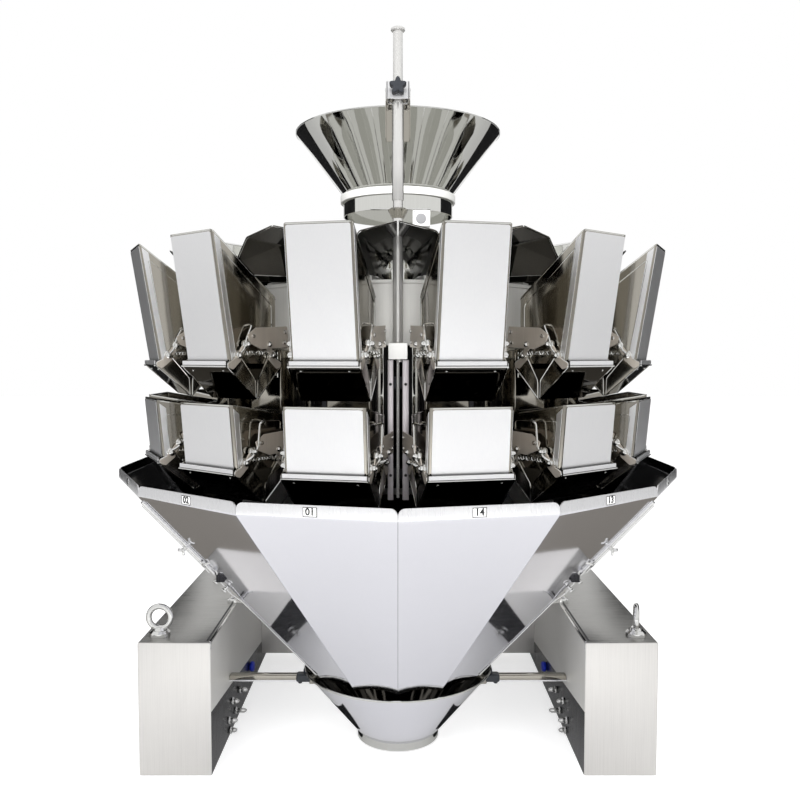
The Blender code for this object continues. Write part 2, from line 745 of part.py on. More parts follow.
def build_pans():
    hub_top = PAN_KEEL_INNER_Z + PAN_KNEE_RISE_INNER / 2
    hub = turned_mesh(
        [
            (PAN_HUB_OUTER, hub_top),
            (PAN_HUB_INNER, hub_top),
            (PAN_HUB_INNER, PAN_HUB_BOTTOM),
            (PAN_HUB_OUTER, PAN_HUB_BOTTOM),
        ],
        HUB_SIDES,
    )
    pan = pan_mesh()
    pans = [turned_copy(pan, head_angle(n)) for n in range(1, HEAD_COUNT + 1)]
    notch = rod_mesh(
        MAST_ROD_RADIUS + PAN_MAST_CLEARANCE,
        (0, -MAST_R, PAN_KEEL_OUTER_Z - OVERRUN),
        (0, -MAST_R, PAN_KEEL_INNER_Z + PAN_WING_RISE_OUTER + OVERRUN),
        MAST_SIDES,
    )
    place(cut(fuse([hub] + pans), [notch]), "feeder_pans", "polished_steel")
    stem_bottom = FEEDER_DRUM_TOP + FEEDER_PLATE_THICKNESS + SEAT_GAP
    cone = turned_mesh(
        [
            (0, CONE_APEX_Z),
            (CONE_TIP_RADIUS, CONE_APEX_Z),
            (CONE_RADIUS, CONE_BASE_Z + CONE_SKIRT),
            (CONE_RADIUS, CONE_BASE_Z),
            (CONE_STEM_RADIUS, CONE_BASE_Z),
            (CONE_STEM_RADIUS, stem_bottom),
            (0, stem_bottom),
        ],
        ROUND_SIDES,
    )
    place(cone, "dispersion_cone", "polished_steel")


# Chutes and outlet


def chute_profile():
    """Outline of the chute wall at a corner of the ring, as (radius, height) points."""
    shoulder = CHUTE_TOP_Z - CHUTE_FLANGE
    wall = CHUTE_WALL / math.cos(HALF_PITCH)
    fall = Vector((CHUTE_TOP_CORNER - CHUTE_BOTTOM_CORNER, shoulder - CHUTE_BOTTOM_Z)).normalized()
    shift = wall / fall.y
    return [
        (CHUTE_TOP_CORNER, CHUTE_TOP_Z),
        (CHUTE_TOP_CORNER, shoulder),
        (CHUTE_BOTTOM_CORNER, CHUTE_BOTTOM_Z),
        (CHUTE_BOTTOM_CORNER - shift, CHUTE_BOTTOM_Z),
        (CHUTE_TOP_CORNER - wall, shoulder + wall * (1 - fall.x) / fall.y),
        (CHUTE_TOP_CORNER - wall, CHUTE_TOP_Z),
    ]


def build_chutes():
    half_turn = HEAD_COUNT // 2
    split = block_mesh(
        (-SEAT_GAP / 2, -CHUTE_TOP_CORNER - OVERRUN, 0),
        (SEAT_GAP / 2, CHUTE_TOP_CORNER + OVERRUN, CHUTE_TOP_Z + OVERRUN),
    )
    for name, side in (("chutes_left", -1), ("chutes_right", 1)):
        shell = turned_mesh(chute_profile(), half_turn, math.pi, 0.0 if side > 0 else math.pi)
        tools = [split]
        for leg in (SIDE_LEG, REAR_LEG):
            slot = leg_mesh(leg, CHUTE_SLOT_CLEARANCE)
            for seam in leg["seams"]:
                if (seam < half_turn) == (side < 0):
                    tools.append(turned_copy(slot, -seam * PITCH))
        place(cut(shell, tools), name, "satin_steel")


def build_outlet():
    cone = Vector((OUTLET_RIM_RADIUS - OUTLET_NECK_RADIUS, OUTLET_RIM_Z - OUTLET_NECK_Z)).normalized()
    shift = OUTLET_WALL / cone.y
    funnel = turned_mesh(
        [
            (OUTLET_RIM_RADIUS, OUTLET_RIM_Z),
            (OUTLET_NECK_RADIUS, OUTLET_NECK_Z),
            (OUTLET_NECK_RADIUS, OUTLET_END_Z),
            (OUTLET_NECK_RADIUS - OUTLET_WALL, OUTLET_END_Z),
            (OUTLET_NECK_RADIUS - OUTLET_WALL, OUTLET_NECK_Z),
            (OUTLET_RIM_RADIUS - shift, OUTLET_RIM_Z),
        ],
        ROUND_SIDES,
    )
    seats = [
        (OUTLET_RIM_RADIUS - (OUTLET_RIM_Z - z) * cone.x / cone.y - shift / 2, z)
        for z in (LUG_TOP, LUG_BOTTOM)
    ]
    lug = plate_mesh(
        seats + [(LUG_OUTER, LUG_BOTTOM), (LUG_OUTER, LUG_TOP)], -LUG_HALF_WIDTH, LUG_HALF_WIDTH
    )
    lugs = [turned_copy(lug, side * math.pi / 2) for side in (-1, 1)]
    place(fuse([funnel] + lugs), "discharge_funnel", "polished_steel")
    for name, side in (("funnel_bar_left", -1), ("funnel_bar_right", 1)):
        near = side * (LUG_OUTER + SEAT_GAP)
        far = side * (BEAM_INNER_X - SEAT_GAP)
        low = (min(near, far), -BAR_HALF_WIDTH, BAR_BOTTOM)
        high = (max(near, far), BAR_HALF_WIDTH, BAR_TOP)
        place(block_mesh(low, high), name, "satin_steel")


# Mast and infeed funnel


def build_mast():
    low = (-MAST_BLOCK_WIDTH / 2, -(MAST_R + MAST_BLOCK_DEPTH / 2), MAST_BLOCK_BOTTOM)
    high = (
        MAST_BLOCK_WIDTH / 2,
        -(MAST_R - MAST_BLOCK_DEPTH / 2),
        MAST_BLOCK_BOTTOM + MAST_BLOCK_HEIGHT,
    )
    place(block_mesh(low, high), "mast_block", "white_plastic")
    foot = MAST_BLOCK_BOTTOM + MAST_BLOCK_HEIGHT + SEAT_GAP
    hub_top = MAST_HUB_BOTTOM + MAST_HUB_HEIGHT
    middle = turned_mesh(
        [
            (0, MAST_TOP),
            (MAST_ROD_RADIUS, MAST_TOP),
            (MAST_ROD_RADIUS, MAST_TUBE_TOP),
            (MAST_TUBE_RADIUS, MAST_TUBE_TOP),
            (MAST_TUBE_RADIUS, MAST_TUBE_BOTTOM),
            (MAST_ROD_RADIUS, MAST_TUBE_BOTTOM),
            (MAST_ROD_RADIUS, hub_top),
            (MAST_HUB_RADIUS, hub_top),
            (MAST_ROD_RADIUS, MAST_HUB_BOTTOM),
            (MAST_ROD_RADIUS, foot),
            (0, foot),
        ],
        MAST_SIDES,
    )
    middle.transform(Matrix.Translation((0, -MAST_R, 0)))
    sensor_top = SENSOR_BOTTOM + SENSOR_SIZE
    box = block_mesh(
        (SENSOR_OFFSET - SENSOR_SIZE / 2, -(MAST_R + SENSOR_DEPTH / 2), SENSOR_BOTTOM),
        (SENSOR_OFFSET + SENSOR_SIZE / 2, -(MAST_R - SENSOR_DEPTH / 2), sensor_top),
    )
    arm = block_mesh(
        (0, -(MAST_R + SENSOR_ARM / 2), hub_top - SENSOR_ARM - FUSE),
        (SENSOR_OFFSET, -(MAST_R - SENSOR_ARM / 2), hub_top - FUSE),
    )
    place(fuse([middle, box, arm]), "mast", "polished_steel")


def build_infeed():
    cone = Vector((INFEED_RIM_RADIUS - INFEED_NECK_RADIUS, INFEED_RIM_Z - INFEED_NECK_TOP_Z)).normalized()
    shift = INFEED_WALL / cone.y
    funnel = turned_mesh(
        [
            (INFEED_RIM_RADIUS, INFEED_RIM_Z),
            (INFEED_RIM_RADIUS - shift, INFEED_RIM_Z),
            (INFEED_NECK_RADIUS - INFEED_WALL, INFEED_NECK_TOP_Z),
            (INFEED_NECK_RADIUS - INFEED_WALL, INFEED_NECK_BOTTOM_Z),
            (INFEED_NECK_RADIUS, INFEED_NECK_BOTTOM_Z),
            (INFEED_NECK_RADIUS, INFEED_NECK_TOP_Z),
        ],
        ROUND_SIDES,
    )
    place(funnel, "infeed_funnel", "polished_steel")

    bore = INFEED_NECK_RADIUS + SEAT_GAP
    outside = bore + COLLAR_WALL
    collar_top = COLLAR_BOTTOM_Z + COLLAR_HEIGHT
    collar = turned_mesh(
        [
            (outside, collar_top),
            (bore, collar_top),
            (bore, COLLAR_BOTTOM_Z),
            (outside, COLLAR_BOTTOM_Z),
        ],
        ROUND_SIDES,
    )
    place(collar, "funnel_collar", "white_plastic")

    clamp_bottom = MAST_TUBE_TOP + SEAT_GAP
    clamp_top = clamp_bottom + CLAMP_HEIGHT
    clamp = block_mesh(
        (-CLAMP_WIDTH / 2, -(MAST_R + CLAMP_DEPTH / 2), clamp_bottom),
        (CLAMP_WIDTH / 2, -(MAST_R - CLAMP_DEPTH / 2), clamp_top),
    )
    seats = [
        (INFEED_RIM_RADIUS - (INFEED_RIM_Z - z) * cone.x / cone.y + SEAT_GAP, z)
        for z in (clamp_top, clamp_top - ARM_HEIGHT)
    ]
    back = MAST_R - CLAMP_DEPTH / 2 + FUSE
    arm = plate_mesh(
        seats + [(back, clamp_top - ARM_HEIGHT), (back, clamp_top)], -ARM_WIDTH / 2, ARM_WIDTH / 2
    )
    knob_z = clamp_bottom + CLAMP_HEIGHT / 2
    face = MAST_R + CLAMP_DEPTH / 2
    neck = rod_mesh(
        KNOB_NECK_RADIUS,
        (0, -(face - FUSE), knob_z),
        (0, -(face + KNOB_NECK_LENGTH), knob_z),
        PIN_SIDES,
    )
    knob = rod_mesh(
        KNOB_RADIUS,
        (0, -(face + KNOB_NECK_LENGTH - FUSE), knob_z),
        (0, -(face + KNOB_NECK_LENGTH + KNOB_LENGTH), knob_z),
        MAST_SIDES,
    )
    bore_radius = (MAST_ROD_RADIUS + CLAMP_BORE_CLEARANCE) / math.cos(math.pi / MAST_SIDES)
    bore_rod = rod_mesh(
        bore_radius,
        (0, -MAST_R, clamp_bottom - OVERRUN),
        (0, -MAST_R, clamp_top + OVERRUN),
        MAST_SIDES,
    )
    place(cut(fuse([clamp, arm, neck, knob]), [bore_rod]), "funnel_arm", "satin_steel")


def main():
    clear_scene()
    build_base()
    build_leg_frame()
    build_drums()
    build_pans()
    build_heads()
    build_chutes()
    build_outlet()
    build_mast()
    build_infeed()


main()
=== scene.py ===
from collections import namedtuple
from functools import partial
from math import atan2, cos, hypot, pi, radians, sin, tan

import bmesh
import bpy
from mathutils import Matrix, Vector


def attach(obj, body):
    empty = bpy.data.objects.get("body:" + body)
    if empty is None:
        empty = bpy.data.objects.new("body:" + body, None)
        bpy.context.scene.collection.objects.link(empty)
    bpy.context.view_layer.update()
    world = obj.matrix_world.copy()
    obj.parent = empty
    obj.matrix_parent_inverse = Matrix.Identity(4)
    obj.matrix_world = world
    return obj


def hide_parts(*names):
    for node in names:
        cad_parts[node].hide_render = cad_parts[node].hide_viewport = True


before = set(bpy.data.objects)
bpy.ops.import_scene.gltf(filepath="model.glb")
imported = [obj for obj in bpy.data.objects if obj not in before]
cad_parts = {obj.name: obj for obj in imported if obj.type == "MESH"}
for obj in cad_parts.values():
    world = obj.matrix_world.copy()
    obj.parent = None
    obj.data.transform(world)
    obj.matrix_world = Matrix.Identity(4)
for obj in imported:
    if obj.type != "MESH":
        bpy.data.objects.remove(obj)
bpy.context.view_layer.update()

# Sizes shared with the part, in metres

HEADS = 14
NUMBERS = range(1, HEADS + 1)
PITCH = 2 * pi / HEADS
SIDES = (("left", -1), ("right", 1))
MM = 0.001
SHARP_ANGLE = radians(34)

# A bucket's front leans out from its bottom to its top, and its back wall is upright. Its two gates
# meet at the tip, and the outer gate hangs on its pivot. half is half of the bucket's width
Bucket = namedtuple("Bucket", "top_r top_z bottom_r bottom_z back_r back_top_z half tip_r tip_z"
                              " pivot_r pivot_z")
FEED = Bucket(0.546, 1.04, 0.512, 0.824, 0.407, 0.936, 0.0555, 0.456, 0.763, 0.4965, 0.838)
WEIGH = Bucket(0.521, 0.7575, 0.511, 0.6465, 0.4, 0.738, 0.0687, 0.4535, 0.588, 0.4955, 0.66)
DRUM_R = 0.31
DRIVE_R = 0.384
DRIVE_Z = (0.668, 0.85)
MAST_R = 0.355
BEAM_IN = 0.371
BEAM_OUT = 0.516
BEAM_Y = (-0.184, 0.52)
BEAM_TOP = 0.27
CHUTE_R = 0.579
CHUTE_Z = 0.611
CHUTE_FLANGE = 0.02
SHOULDER_Z = CHUTE_Z - CHUTE_FLANGE
CHUTE_LOW_R = 0.199
CHUTE_LOW_Z = 0.172


# Materials: each is named for the real one, its colours are sRGB hex


def linear(hex_colour):
    """An sRGB hex colour as linear numbers."""
    values = [int(hex_colour[i:i + 2], 16) / 255 for i in (1, 3, 5)]
    return tuple(v / 12.92 if v <= 0.04045 else ((v + 0.055) / 1.055) ** 2.4 for v in values) + (1.0,)


def add(tree, kind, settings=(), links=()):
    """Adds a node, or takes one that is there, sets its properties and inputs, and links its inputs, each
    to an output or to a node's first one."""
    item = tree.nodes.new(kind) if isinstance(kind, str) else kind
    for name, value in dict(settings).items():
        if name in item.inputs:
            item.inputs[name].default_value = value
        else:
            setattr(item, name, value)
    for name, source in dict(links).items():
        tree.links.new(source.outputs[0] if hasattr(source, "outputs") else source, item.inputs[name])
    return item


def new_material(name):
    material = bpy.data.materials.new(name)
    material.use_nodes = True
    tree = material.node_tree
    return material, tree, tree.nodes["Principled BSDF"]


# Grain runs up and down on upright sheet and across on the beams' tops. Real grit lines are 0.1 mm
# apart, drawn 1 mm apart so that they show. Drawn bar has longer and wider lines
UPRIGHT = (900.0, 900.0, 9.0)
ACROSS = (9.0, 900.0, 900.0)
DRAWN = (60.0, 60.0, 5.0)


def sheet_steel(name, colour, tint, smooth, rough, grain_mm, wave_mm, metallic=1.0, grain=UPRIGHT):
    """Stainless sheet: fine grain along one axis, and the long shallow waves of rolled sheet.
    smooth and rough are the ends of its roughness. grain_mm and wave_mm are how high its grain and
    waves stand, and grain is how many lines a metre has along x, y and z."""
    material, tree, shader = new_material(name)
    place = add(tree, "ShaderNodeTexCoord").outputs["Object"]
    stretched = add(tree, "ShaderNodeMapping", {"Scale": grain}, {"Vector": place})
    lines = add(tree, "ShaderNodeTexNoise", {"Scale": 1.0, "Detail": 3.0, "Roughness": 0.6},
                {"Vector": stretched})
    waves = add(tree, "ShaderNodeTexNoise", {"Scale": 7.0, "Detail": 1.0}, {"Vector": place})
    smears = add(tree, "ShaderNodeTexNoise", {"Scale": 28.0, "Detail": 4.0}, {"Vector": place})
    blend = add(tree, "ShaderNodeMix", {"data_type": "FLOAT", "Factor": 0.15}, {"A": lines, "B": smears})
    span = add(tree, "ShaderNodeMapRange",
               {"From Min": 0.3, "From Max": 0.7, "To Min": smooth, "To Max": rough}, {"Value": blend})
    shade = add(tree, "ShaderNodeValToRGB", (), {"Fac": blend})
    for end, position, hex_colour in zip(shade.color_ramp.elements, (0.25, 0.75), (tint, colour)):
        end.position = position
        end.color = linear(hex_colour)
    fine = add(tree, "ShaderNodeBump", {"Strength": 1.0, "Distance": grain_mm * MM}, {"Height": lines})
    broad = add(tree, "ShaderNodeBump", {"Strength": 1.0, "Distance": wave_mm * MM},
                {"Height": waves, "Normal": fine})
    add(tree, shader, {"Metallic": metallic}, {"Base Color": shade, "Roughness": span, "Normal": broad})
    return material


def moulded(name, colour, roughness, speck, height_mm, metallic=0.0):
    """Moulded or machined plastic, print and plated metal: a fine even speckle, speck of them a metre."""
    material, tree, shader = new_material(name)
    place = add(tree, "ShaderNodeTexCoord").outputs["Object"]
    specks = add(tree, "ShaderNodeTexNoise", {"Scale": speck, "Detail": 3.0}, {"Vector": place})
    shade = add(tree, "ShaderNodeValToRGB", (), {"Fac": specks})
    paint = linear(colour)
    shade.color_ramp.elements[0].color = [part * 0.86 for part in paint[:3]] + [1.0]
    shade.color_ramp.elements[1].color = paint
    bump = add(tree, "ShaderNodeBump", {"Strength": 0.5, "Distance": height_mm * MM}, {"Height": specks})
    add(tree, shader, {"Roughness": roughness, "Metallic": metallic}, {"Base Color": shade, "Normal": bump})
    return material


FINISH = {
    # Mirror-polished 304 sheet: sharp reflections, slightly bent by the waves of the sheet
    "mirror": sheet_steel("mirror_polished_304", "#D6D6D2", "#CFCFCB", 0.03, 0.07, 0.002, 0.8),
    # The same sheet, painted darker and warmer as shade where it faces the dark inside of the machine, and
    # duller
    "side": sheet_steel("bright_rolled_304", "#A9A59C", "#A19D94", 0.07, 0.14, 0.003, 0.6),
    # Satin 304 with its grain upright: the bucket fronts, pale and even
    "satin": sheet_steel("satin_ground_304", "#F3F3F3", "#EEEEF0", 0.36, 0.42, 0.006, 0.1),
    # Semi-polished 304 of the chutes, pale and smooth with a violet cast
    "chute": sheet_steel("semi_polished_304", "#E8E8ED", "#E1E1E7", 0.05, 0.09, 0.003, 0.3),
    # The chutes' flanges catch the lamps: their ground sheet is painted paler as a highlight and reads as
    # nearly white
    "flange": sheet_steel("ground_flange_304", "#F1F1F2", "#ECECEE", 0.25, 0.34, 0.004, 0.2),
    # Belt-ground 304 of the beams, the cross box and the legs, pale and even
    "beam": sheet_steel("belt_ground_304", "#E8E6E3", "#DCDAD7", 0.32, 0.42, 0.012, 0.1),
    # The beams' tops: coarser, greyer, with long scratches across
    "beam_top": sheet_steel("coarse_ground_304", "#C6C5C2", "#8F8E8B", 0.22, 0.46, 0.04, 0.1, grain=ACROSS),
    # Housing steel painted dark as deep shade
    "dark": sheet_steel("shaded_housing_steel", "#37373A", "#29292B", 0.2, 0.34, 0.006, 0.4),
    # Pans and gate undersides: mirror sheet painted nearly black as shade, where it only sees the dark
    # inside
    "shade": sheet_steel("mirror_sheet_in_shade", "#54514C", "#3E3C38", 0.03, 0.09, 0.002, 0.9),
    # Inner faces of the chutes, painted dark as shade, since they only see the machine
    "inner": sheet_steel("chute_inner_304", "#47474A", "#3C3C3F", 0.06, 0.16, 0.004, 0.6),
    # Drawn bar of the mast and the thin rod below it: pale grey with soft highlights along it
    "bar": sheet_steel("drawn_steel_bar", "#CCCBC9", "#C2C1BF", 0.18, 0.24, 0.001, 0.1, 0.72, grain=DRAWN),
    # Bead-blasted 304 on the upper drum and the beams' inner panels: nearly matt and bright
    "blasted": sheet_steel("bead_blasted_304", "#E9E8E4", "#DEDDD9", 0.34, 0.46, 0.008, 0.1, 0.5),
    # Cast gate arms, levers and brackets, barrel polished: soft warm grey with a broad gleam
    "arm": sheet_steel("barrel_polished_casting", "#C4BCB2", "#B4ACA2", 0.28, 0.38, 0.004, 0.4, 0.72),
    # Flat rails on the drum: greyer, slightly violet
    "rail": sheet_steel("flat_ground_bar", "#D9D3D6", "#CBC5C8", 0.34, 0.44, 0.004, 0.1, 0.7),
    # Plated screws, wire and eye bolts: small sharp highlights
    "chrome": moulded("chrome_plated_steel", "#DEDEDC", 0.08, 260.0, 0.01, 1.0),
    # Turned white acetal of the ring and the mast's block: clean white with a soft sheen
    "pom": moulded("machined_white_acetal", "#F1F1EE", 0.42, 900.0, 0.02),
    # Knobs and clamps: nearly black, finely grained
    "knob": moulded("black_moulded_nylon", "#26292E", 0.46, 1400.0, 0.05),
    # The plugs low on the beams: the one strong colour
    "blue": moulded("blue_nylon_plug", "#1B2FA8", 0.4, 1400.0, 0.03),
    # The level sensor: white case and grey face
    "case": moulded("white_sensor_case", "#F0F0EE", 0.38, 1200.0, 0.03),
    "lens": moulded("grey_sensor_face", "#8E8E90", 0.3, 1200.0, 0.02),
    # Number plates: smooth white film with matt black print
    "plate": moulded("white_label_film", "#F6F6F4", 0.35, 700.0, 0.01),
    # The black print also paints the shade in the beams' slots and the rails' holes
    "ink": moulded("black_print", "#1C1C1E", 0.5, 900.0, 0.01),
}


# Small shaping helpers. A head is drawn with its outward side along -Y and then turned about Z


def spot(r, z, x=0.0):
    """A point of a head, from its radius and height and its offset to the side."""
    return Vector((x, -r, z))


def edges_of(verts):
    """The edges at some vertices, each once."""
    return list(dict.fromkeys(e for v in verts for e in v.link_edges))


def bevel(bm, geom, offset, segments=2, affect="EDGES"):
    return bmesh.ops.bevel(bm, geom=geom, offset=offset, segments=segments, affect=affect, profile=0.5,
                           material=-1)


def box(bm, corner, opposite, edge=0.0, steps=2):
    """A block between two opposite corners with rounded edges."""
    corner, opposite = Vector(corner), Vector(opposite)
    made = bmesh.ops.create_cube(bm, size=1.0)["verts"]
    bmesh.ops.scale(bm, verts=made, vec=[abs(length) for length in opposite - corner])
    bmesh.ops.translate(bm, verts=made, vec=(corner + opposite) / 2)
    if edge:
        bevel(bm, edges_of(made), edge, steps)


def rod(bm, start, end, radius, sides, edge=0.0, end_radius=None):
    """A round bar between two points, its ends bevelled if edge is given."""
    start, end = Vector(start), Vector(end)
    axis = end - start
    made = bmesh.ops.create_cone(bm, cap_ends=True, segments=sides, radius1=radius,
                                 radius2=end_radius or radius, depth=axis.length)["verts"]
    if edge:
        caps = [e for e in edges_of(made) if abs(e.verts[0].co.z - e.verts[1].co.z) < axis.length / 4]
        grown = bevel(bm, caps, edge)
        made = list({v for f in grown["faces"] for v in f.verts} | {v for v in made if v.is_valid})
    bmesh.ops.rotate(bm, verts=made, cent=(0, 0, 0), matrix=axis.to_track_quat("Z", "Y").to_matrix())
    bmesh.ops.translate(bm, verts=made, vec=(start + end) / 2)


def cross_rod(bm, r, z, x_from, x_to, radius, sides, edge=0.0):
    """A round bar that lies across a head."""
    rod(bm, spot(r, z, x_from), spot(r, z, x_to), radius, sides, edge)


def out_rod(bm, z, x, r_from, r_to, radius, sides, edge=0.0):
    """A round bar that points out of a head."""
    rod(bm, spot(r_from, z, x), spot(r_to, z, x), radius, sides, edge)


def ball(bm, centre, radius, sides=12):
    """A round knob or boss end."""
    made = bmesh.ops.create_uvsphere(bm, u_segments=sides, v_segments=sides // 2, radius=radius)["verts"]
    bmesh.ops.translate(bm, verts=made, vec=centre)


def wire(bm, points, radius, sides=8, closed=False):
    """Round wire along points: a ring at each, bridged to the next."""
    points = [Vector(p) for p in points]
    count = len(points)
    rings = []
    up = None
    for index, point in enumerate(points):
        before = points[index - 1] if index or closed else point
        after = points[(index + 1) % count] if index < count - 1 or closed else point
        way = (after - before).normalized()
        if up is None:
            up = way.orthogonal().normalized()
        up = (up - way * up.dot(way)).normalized()
        turn = Matrix((up, way.cross(up), way)).transposed()
        ring = bmesh.ops.create_circle(bm, cap_ends=False, segments=sides, radius=radius)["verts"]
        bmesh.ops.rotate(bm, verts=ring, cent=(0, 0, 0), matrix=turn)
        bmesh.ops.translate(bm, verts=ring, vec=point)
        rings.append(edges_of(ring))
    for index in range(count if closed else count - 1):
        bmesh.ops.bridge_loops(bm, edges=rings[index] + rings[(index + 1) % count])
    if not closed:
        bmesh.ops.holes_fill(bm, edges=rings[0] + rings[-1], sides=sides)


def circle(count):
    """The cosine and sine of each of some even steps round a circle."""
    return [(cos(a), sin(a)) for a in (2 * pi * k / count for k in range(count))]


def eased(points, radius, steps=3):
    """Points with each corner replaced by a short curve."""
    points = [Vector(p) for p in points]
    out = [points[0]]
    for before, corner, after in zip(points, points[1:], points[2:]):
        reach = min(radius, (before - corner).length / 2, (after - corner).length / 2)
        start = corner + (before - corner).normalized() * reach
        end = corner + (after - corner).normalized() * reach
        for step in range(steps + 1):
            t = step / steps
            out.append(start.lerp(corner, t).lerp(corner.lerp(end, t), t))
    out.append(points[-1])
    return out


def thicken(bm, face, way, edge=0.0, steps=1):
    """Draws a flat face out to a plate and rounds the edges of its far side."""
    grown = bmesh.ops.extrude_face_region(bm, geom=[face])["geom"]
    moved = [v for v in grown if isinstance(v, bmesh.types.BMVert)]
    bmesh.ops.translate(bm, verts=moved, vec=way)
    if edge:
        bevel(bm, [e for e in edges_of(moved) if all(v in moved for v in e.verts)], edge, steps)


def plate(bm, outline, x_from, x_to, edge=0.0, corner=0.0):
    """A flat plate across a head: its outline as (radius, height), thick from one x to another."""
    verts = [bm.verts.new((x_from, -r, z)) for r, z in outline]
    face = bm.faces.new(verts)
    if corner:
        rounded = bevel(bm, verts, corner, 3, "VERTICES")
        face = max(rounded["verts"][0].link_faces, key=lambda f: f.calc_area())
    thicken(bm, face, (x_to - x_from, 0, 0), edge)


def turned(profile, steps, centre=(0, 0, 0)):
    """Turns an outline of (radius, height) points round an upright axis through a centre."""
    bm = bmesh.new()
    verts = [bm.verts.new((r, 0, z)) for r, z in profile]
    edges = []
    for index, vert in enumerate(verts):
        after = (index + 1) % len(verts)
        if profile[index][0] > 0 or profile[after][0] > 0:
            edges.append(bm.edges.new((vert, verts[after])))
    bmesh.ops.spin(bm, geom=edges, cent=(0, 0, 0), axis=(0, 0, 1), angle=2 * pi, steps=steps,
                   use_merge=True)
    bmesh.ops.translate(bm, verts=bm.verts[:], vec=centre)
    return bm


def skin(bm, thickness):
    """Gives a sheet its thickness, to the side away from its normals."""
    bmesh.ops.recalc_face_normals(bm, faces=bm.faces)
    bmesh.ops.solidify(bm, geom=bm.faces[:], thickness=thickness)


def take_in(whole, shape):
    """Moves one shape into another."""
    part = bpy.data.meshes.new("part")
    shape.to_mesh(part)
    shape.free()
    whole.from_mesh(part)
    bpy.data.meshes.remove(part)


def merged(*shapes):
    """Several shapes as one layer."""
    whole = bmesh.new()
    for shape in shapes:
        take_in(whole, shape)
    return whole


def build(name, layers):
    """One mesh from several shaped layers, each with the names of its finishes."""
    whole = bmesh.new()
    finishes = []
    for shape, names in layers:
        names = (names,) if isinstance(names, str) else names
        bmesh.ops.remove_doubles(shape, verts=shape.verts, dist=MM / 200)
        bmesh.ops.recalc_face_normals(shape, faces=shape.faces)
        for face in shape.faces:
            face.material_index = len(finishes) + (face.material_index if len(names) > 1 else 0)
        finishes += names
        take_in(whole, shape)
    mesh = bpy.data.meshes.new(name)
    whole.to_mesh(mesh)
    whole.free()
    for finish in finishes:
        mesh.materials.append(FINISH[finish])
    return mesh


def placed(name, data):
    """A new object in the scene."""
    item = bpy.data.objects.new(name, data)
    bpy.context.scene.collection.objects.link(item)
    return item


def show(mesh, *nodes, body="root", slot="polished_steel"):
    """Makes a finished mesh a piece that rides on a body and may stand for CAD nodes."""
    mesh.shade_smooth()
    mesh.set_sharp_from_angle(angle=SHARP_ANGLE)
    item = placed(mesh.name, mesh)
    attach(item, body)
    if nodes:
        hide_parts(*nodes)


def head_turn(number):
    """Head 1 stands to the left of the front seam, and the numbers run on clockwise."""
    return Matrix.Rotation(-(number - 0.5) * PITCH, 4, "Z")


def show_at(number, mesh, *nodes, body="root", slot="polished_steel"):
    """Shows a copy of a mesh at one head."""
    copy = mesh.copy()
    copy.name = mesh.name + "_%02d" % number
    copy.transform(head_turn(number))
    show(copy, *nodes, body=body, slot=slot)


# Buckets


def bucket_walls(b):
    """The folded sheet of a bucket: four walls with rounded corners, open above and below."""
    bm = bmesh.new()
    h = b.half - 0.0002
    play = 0.0006
    rows = []
    for front_r, front_z, back_z in ((b.bottom_r - play, b.bottom_z, b.bottom_z),
                                     (b.top_r - play, b.top_z - play, b.back_top_z)):
        rows.append([bm.verts.new(p) for p in (spot(front_r, front_z, -h), spot(front_r, front_z, h),
                                               spot(b.back_r, back_z, h), spot(b.back_r, back_z, -h))])
    lower, upper = rows
    for i in range(4):
        j = (i + 1) % 4
        bm.faces.new((lower[i], lower[j], upper[j], upper[i]))
    bevel(bm, [bm.edges.get(pair) for pair in zip(lower, upper)], 0.0042, 4)
    skin(bm, 0.0018)
    return bm


def bucket_hem(b):
    """The rolled rim along the front and side walls of a bucket."""
    bm = bmesh.new()
    h = b.half - 0.0016
    inset = 0.002
    back = (b.back_r + inset, b.back_top_z - inset)
    front = (b.top_r - inset, b.top_z - inset)
    wire(bm, eased([spot(*back, -h), spot(*front, -h), spot(*front, h), spot(*back, h)], 0.005), 0.0017)
    return bm


def front_panel(b, inset):
    """The satin cover sheet on the front of a bucket, a little narrower than the bucket."""
    bm = bmesh.new()
    h = b.half - inset
    lean = (b.top_r - b.bottom_r) / (b.top_z - b.bottom_z)
    low = b.bottom_z + 0.0035
    high = b.top_z - 0.0042
    verts = [bm.verts.new(spot(b.bottom_r - 0.0004 + lean * (z - b.bottom_z), z, x))
             for z, x in ((low, -h), (low, h), (high, h), (high, -h))]
    bm.faces.new(verts)
    bevel(bm, verts, 0.003, 2, "VERTICES")
    skin(bm, 0.0008)
    bmesh.ops.translate(bm, verts=bm.verts[:], vec=(0, -0.0006, 0))
    return bm


def side_wires(b, path, bend, radius, sides=8):
    """A bent wire on both sides of a bucket: each point as radius, height and reach out from the wall."""
    bm = bmesh.new()
    for side in (-1, 1):
        wire(bm, eased([spot(r, z, side * (b.half + reach)) for r, z, reach in path], bend), radius, sides)
    return bm


def side_crease(b):
    """The raised folds on the side walls, a few millimetres in from their edges."""
    reach = 0.0002
    return side_wires(b, [
        (b.bottom_r - 0.014, b.bottom_z + 0.012, reach), (b.top_r - 0.016, b.top_z - 0.028, reach),
        (b.back_r + 0.012, b.back_top_z - 0.012, reach), (b.back_r + 0.012, b.bottom_z + 0.012, reach),
    ], 0.006, 0.0007, 6)


def side_strips(b):
    """The pale strip of each side wall beside the front, where the front sheet is folded round."""
    bm = bmesh.new()
    outline = [
        (b.bottom_r - 0.004, b.bottom_z + 0.006), (b.top_r - 0.005, b.top_z - 0.007),
        (b.top_r - 0.017, b.top_z - 0.016), (b.bottom_r - 0.013, b.bottom_z + 0.012),
    ]
    for side in (-1, 1):
        x = side * (b.half - 0.0004)
        plate(bm, outline, x, x + side * 0.0009, 0.0002)
    return bm


# Gates: s is 1 for the outer gate of a bucket and -1 for its inner one


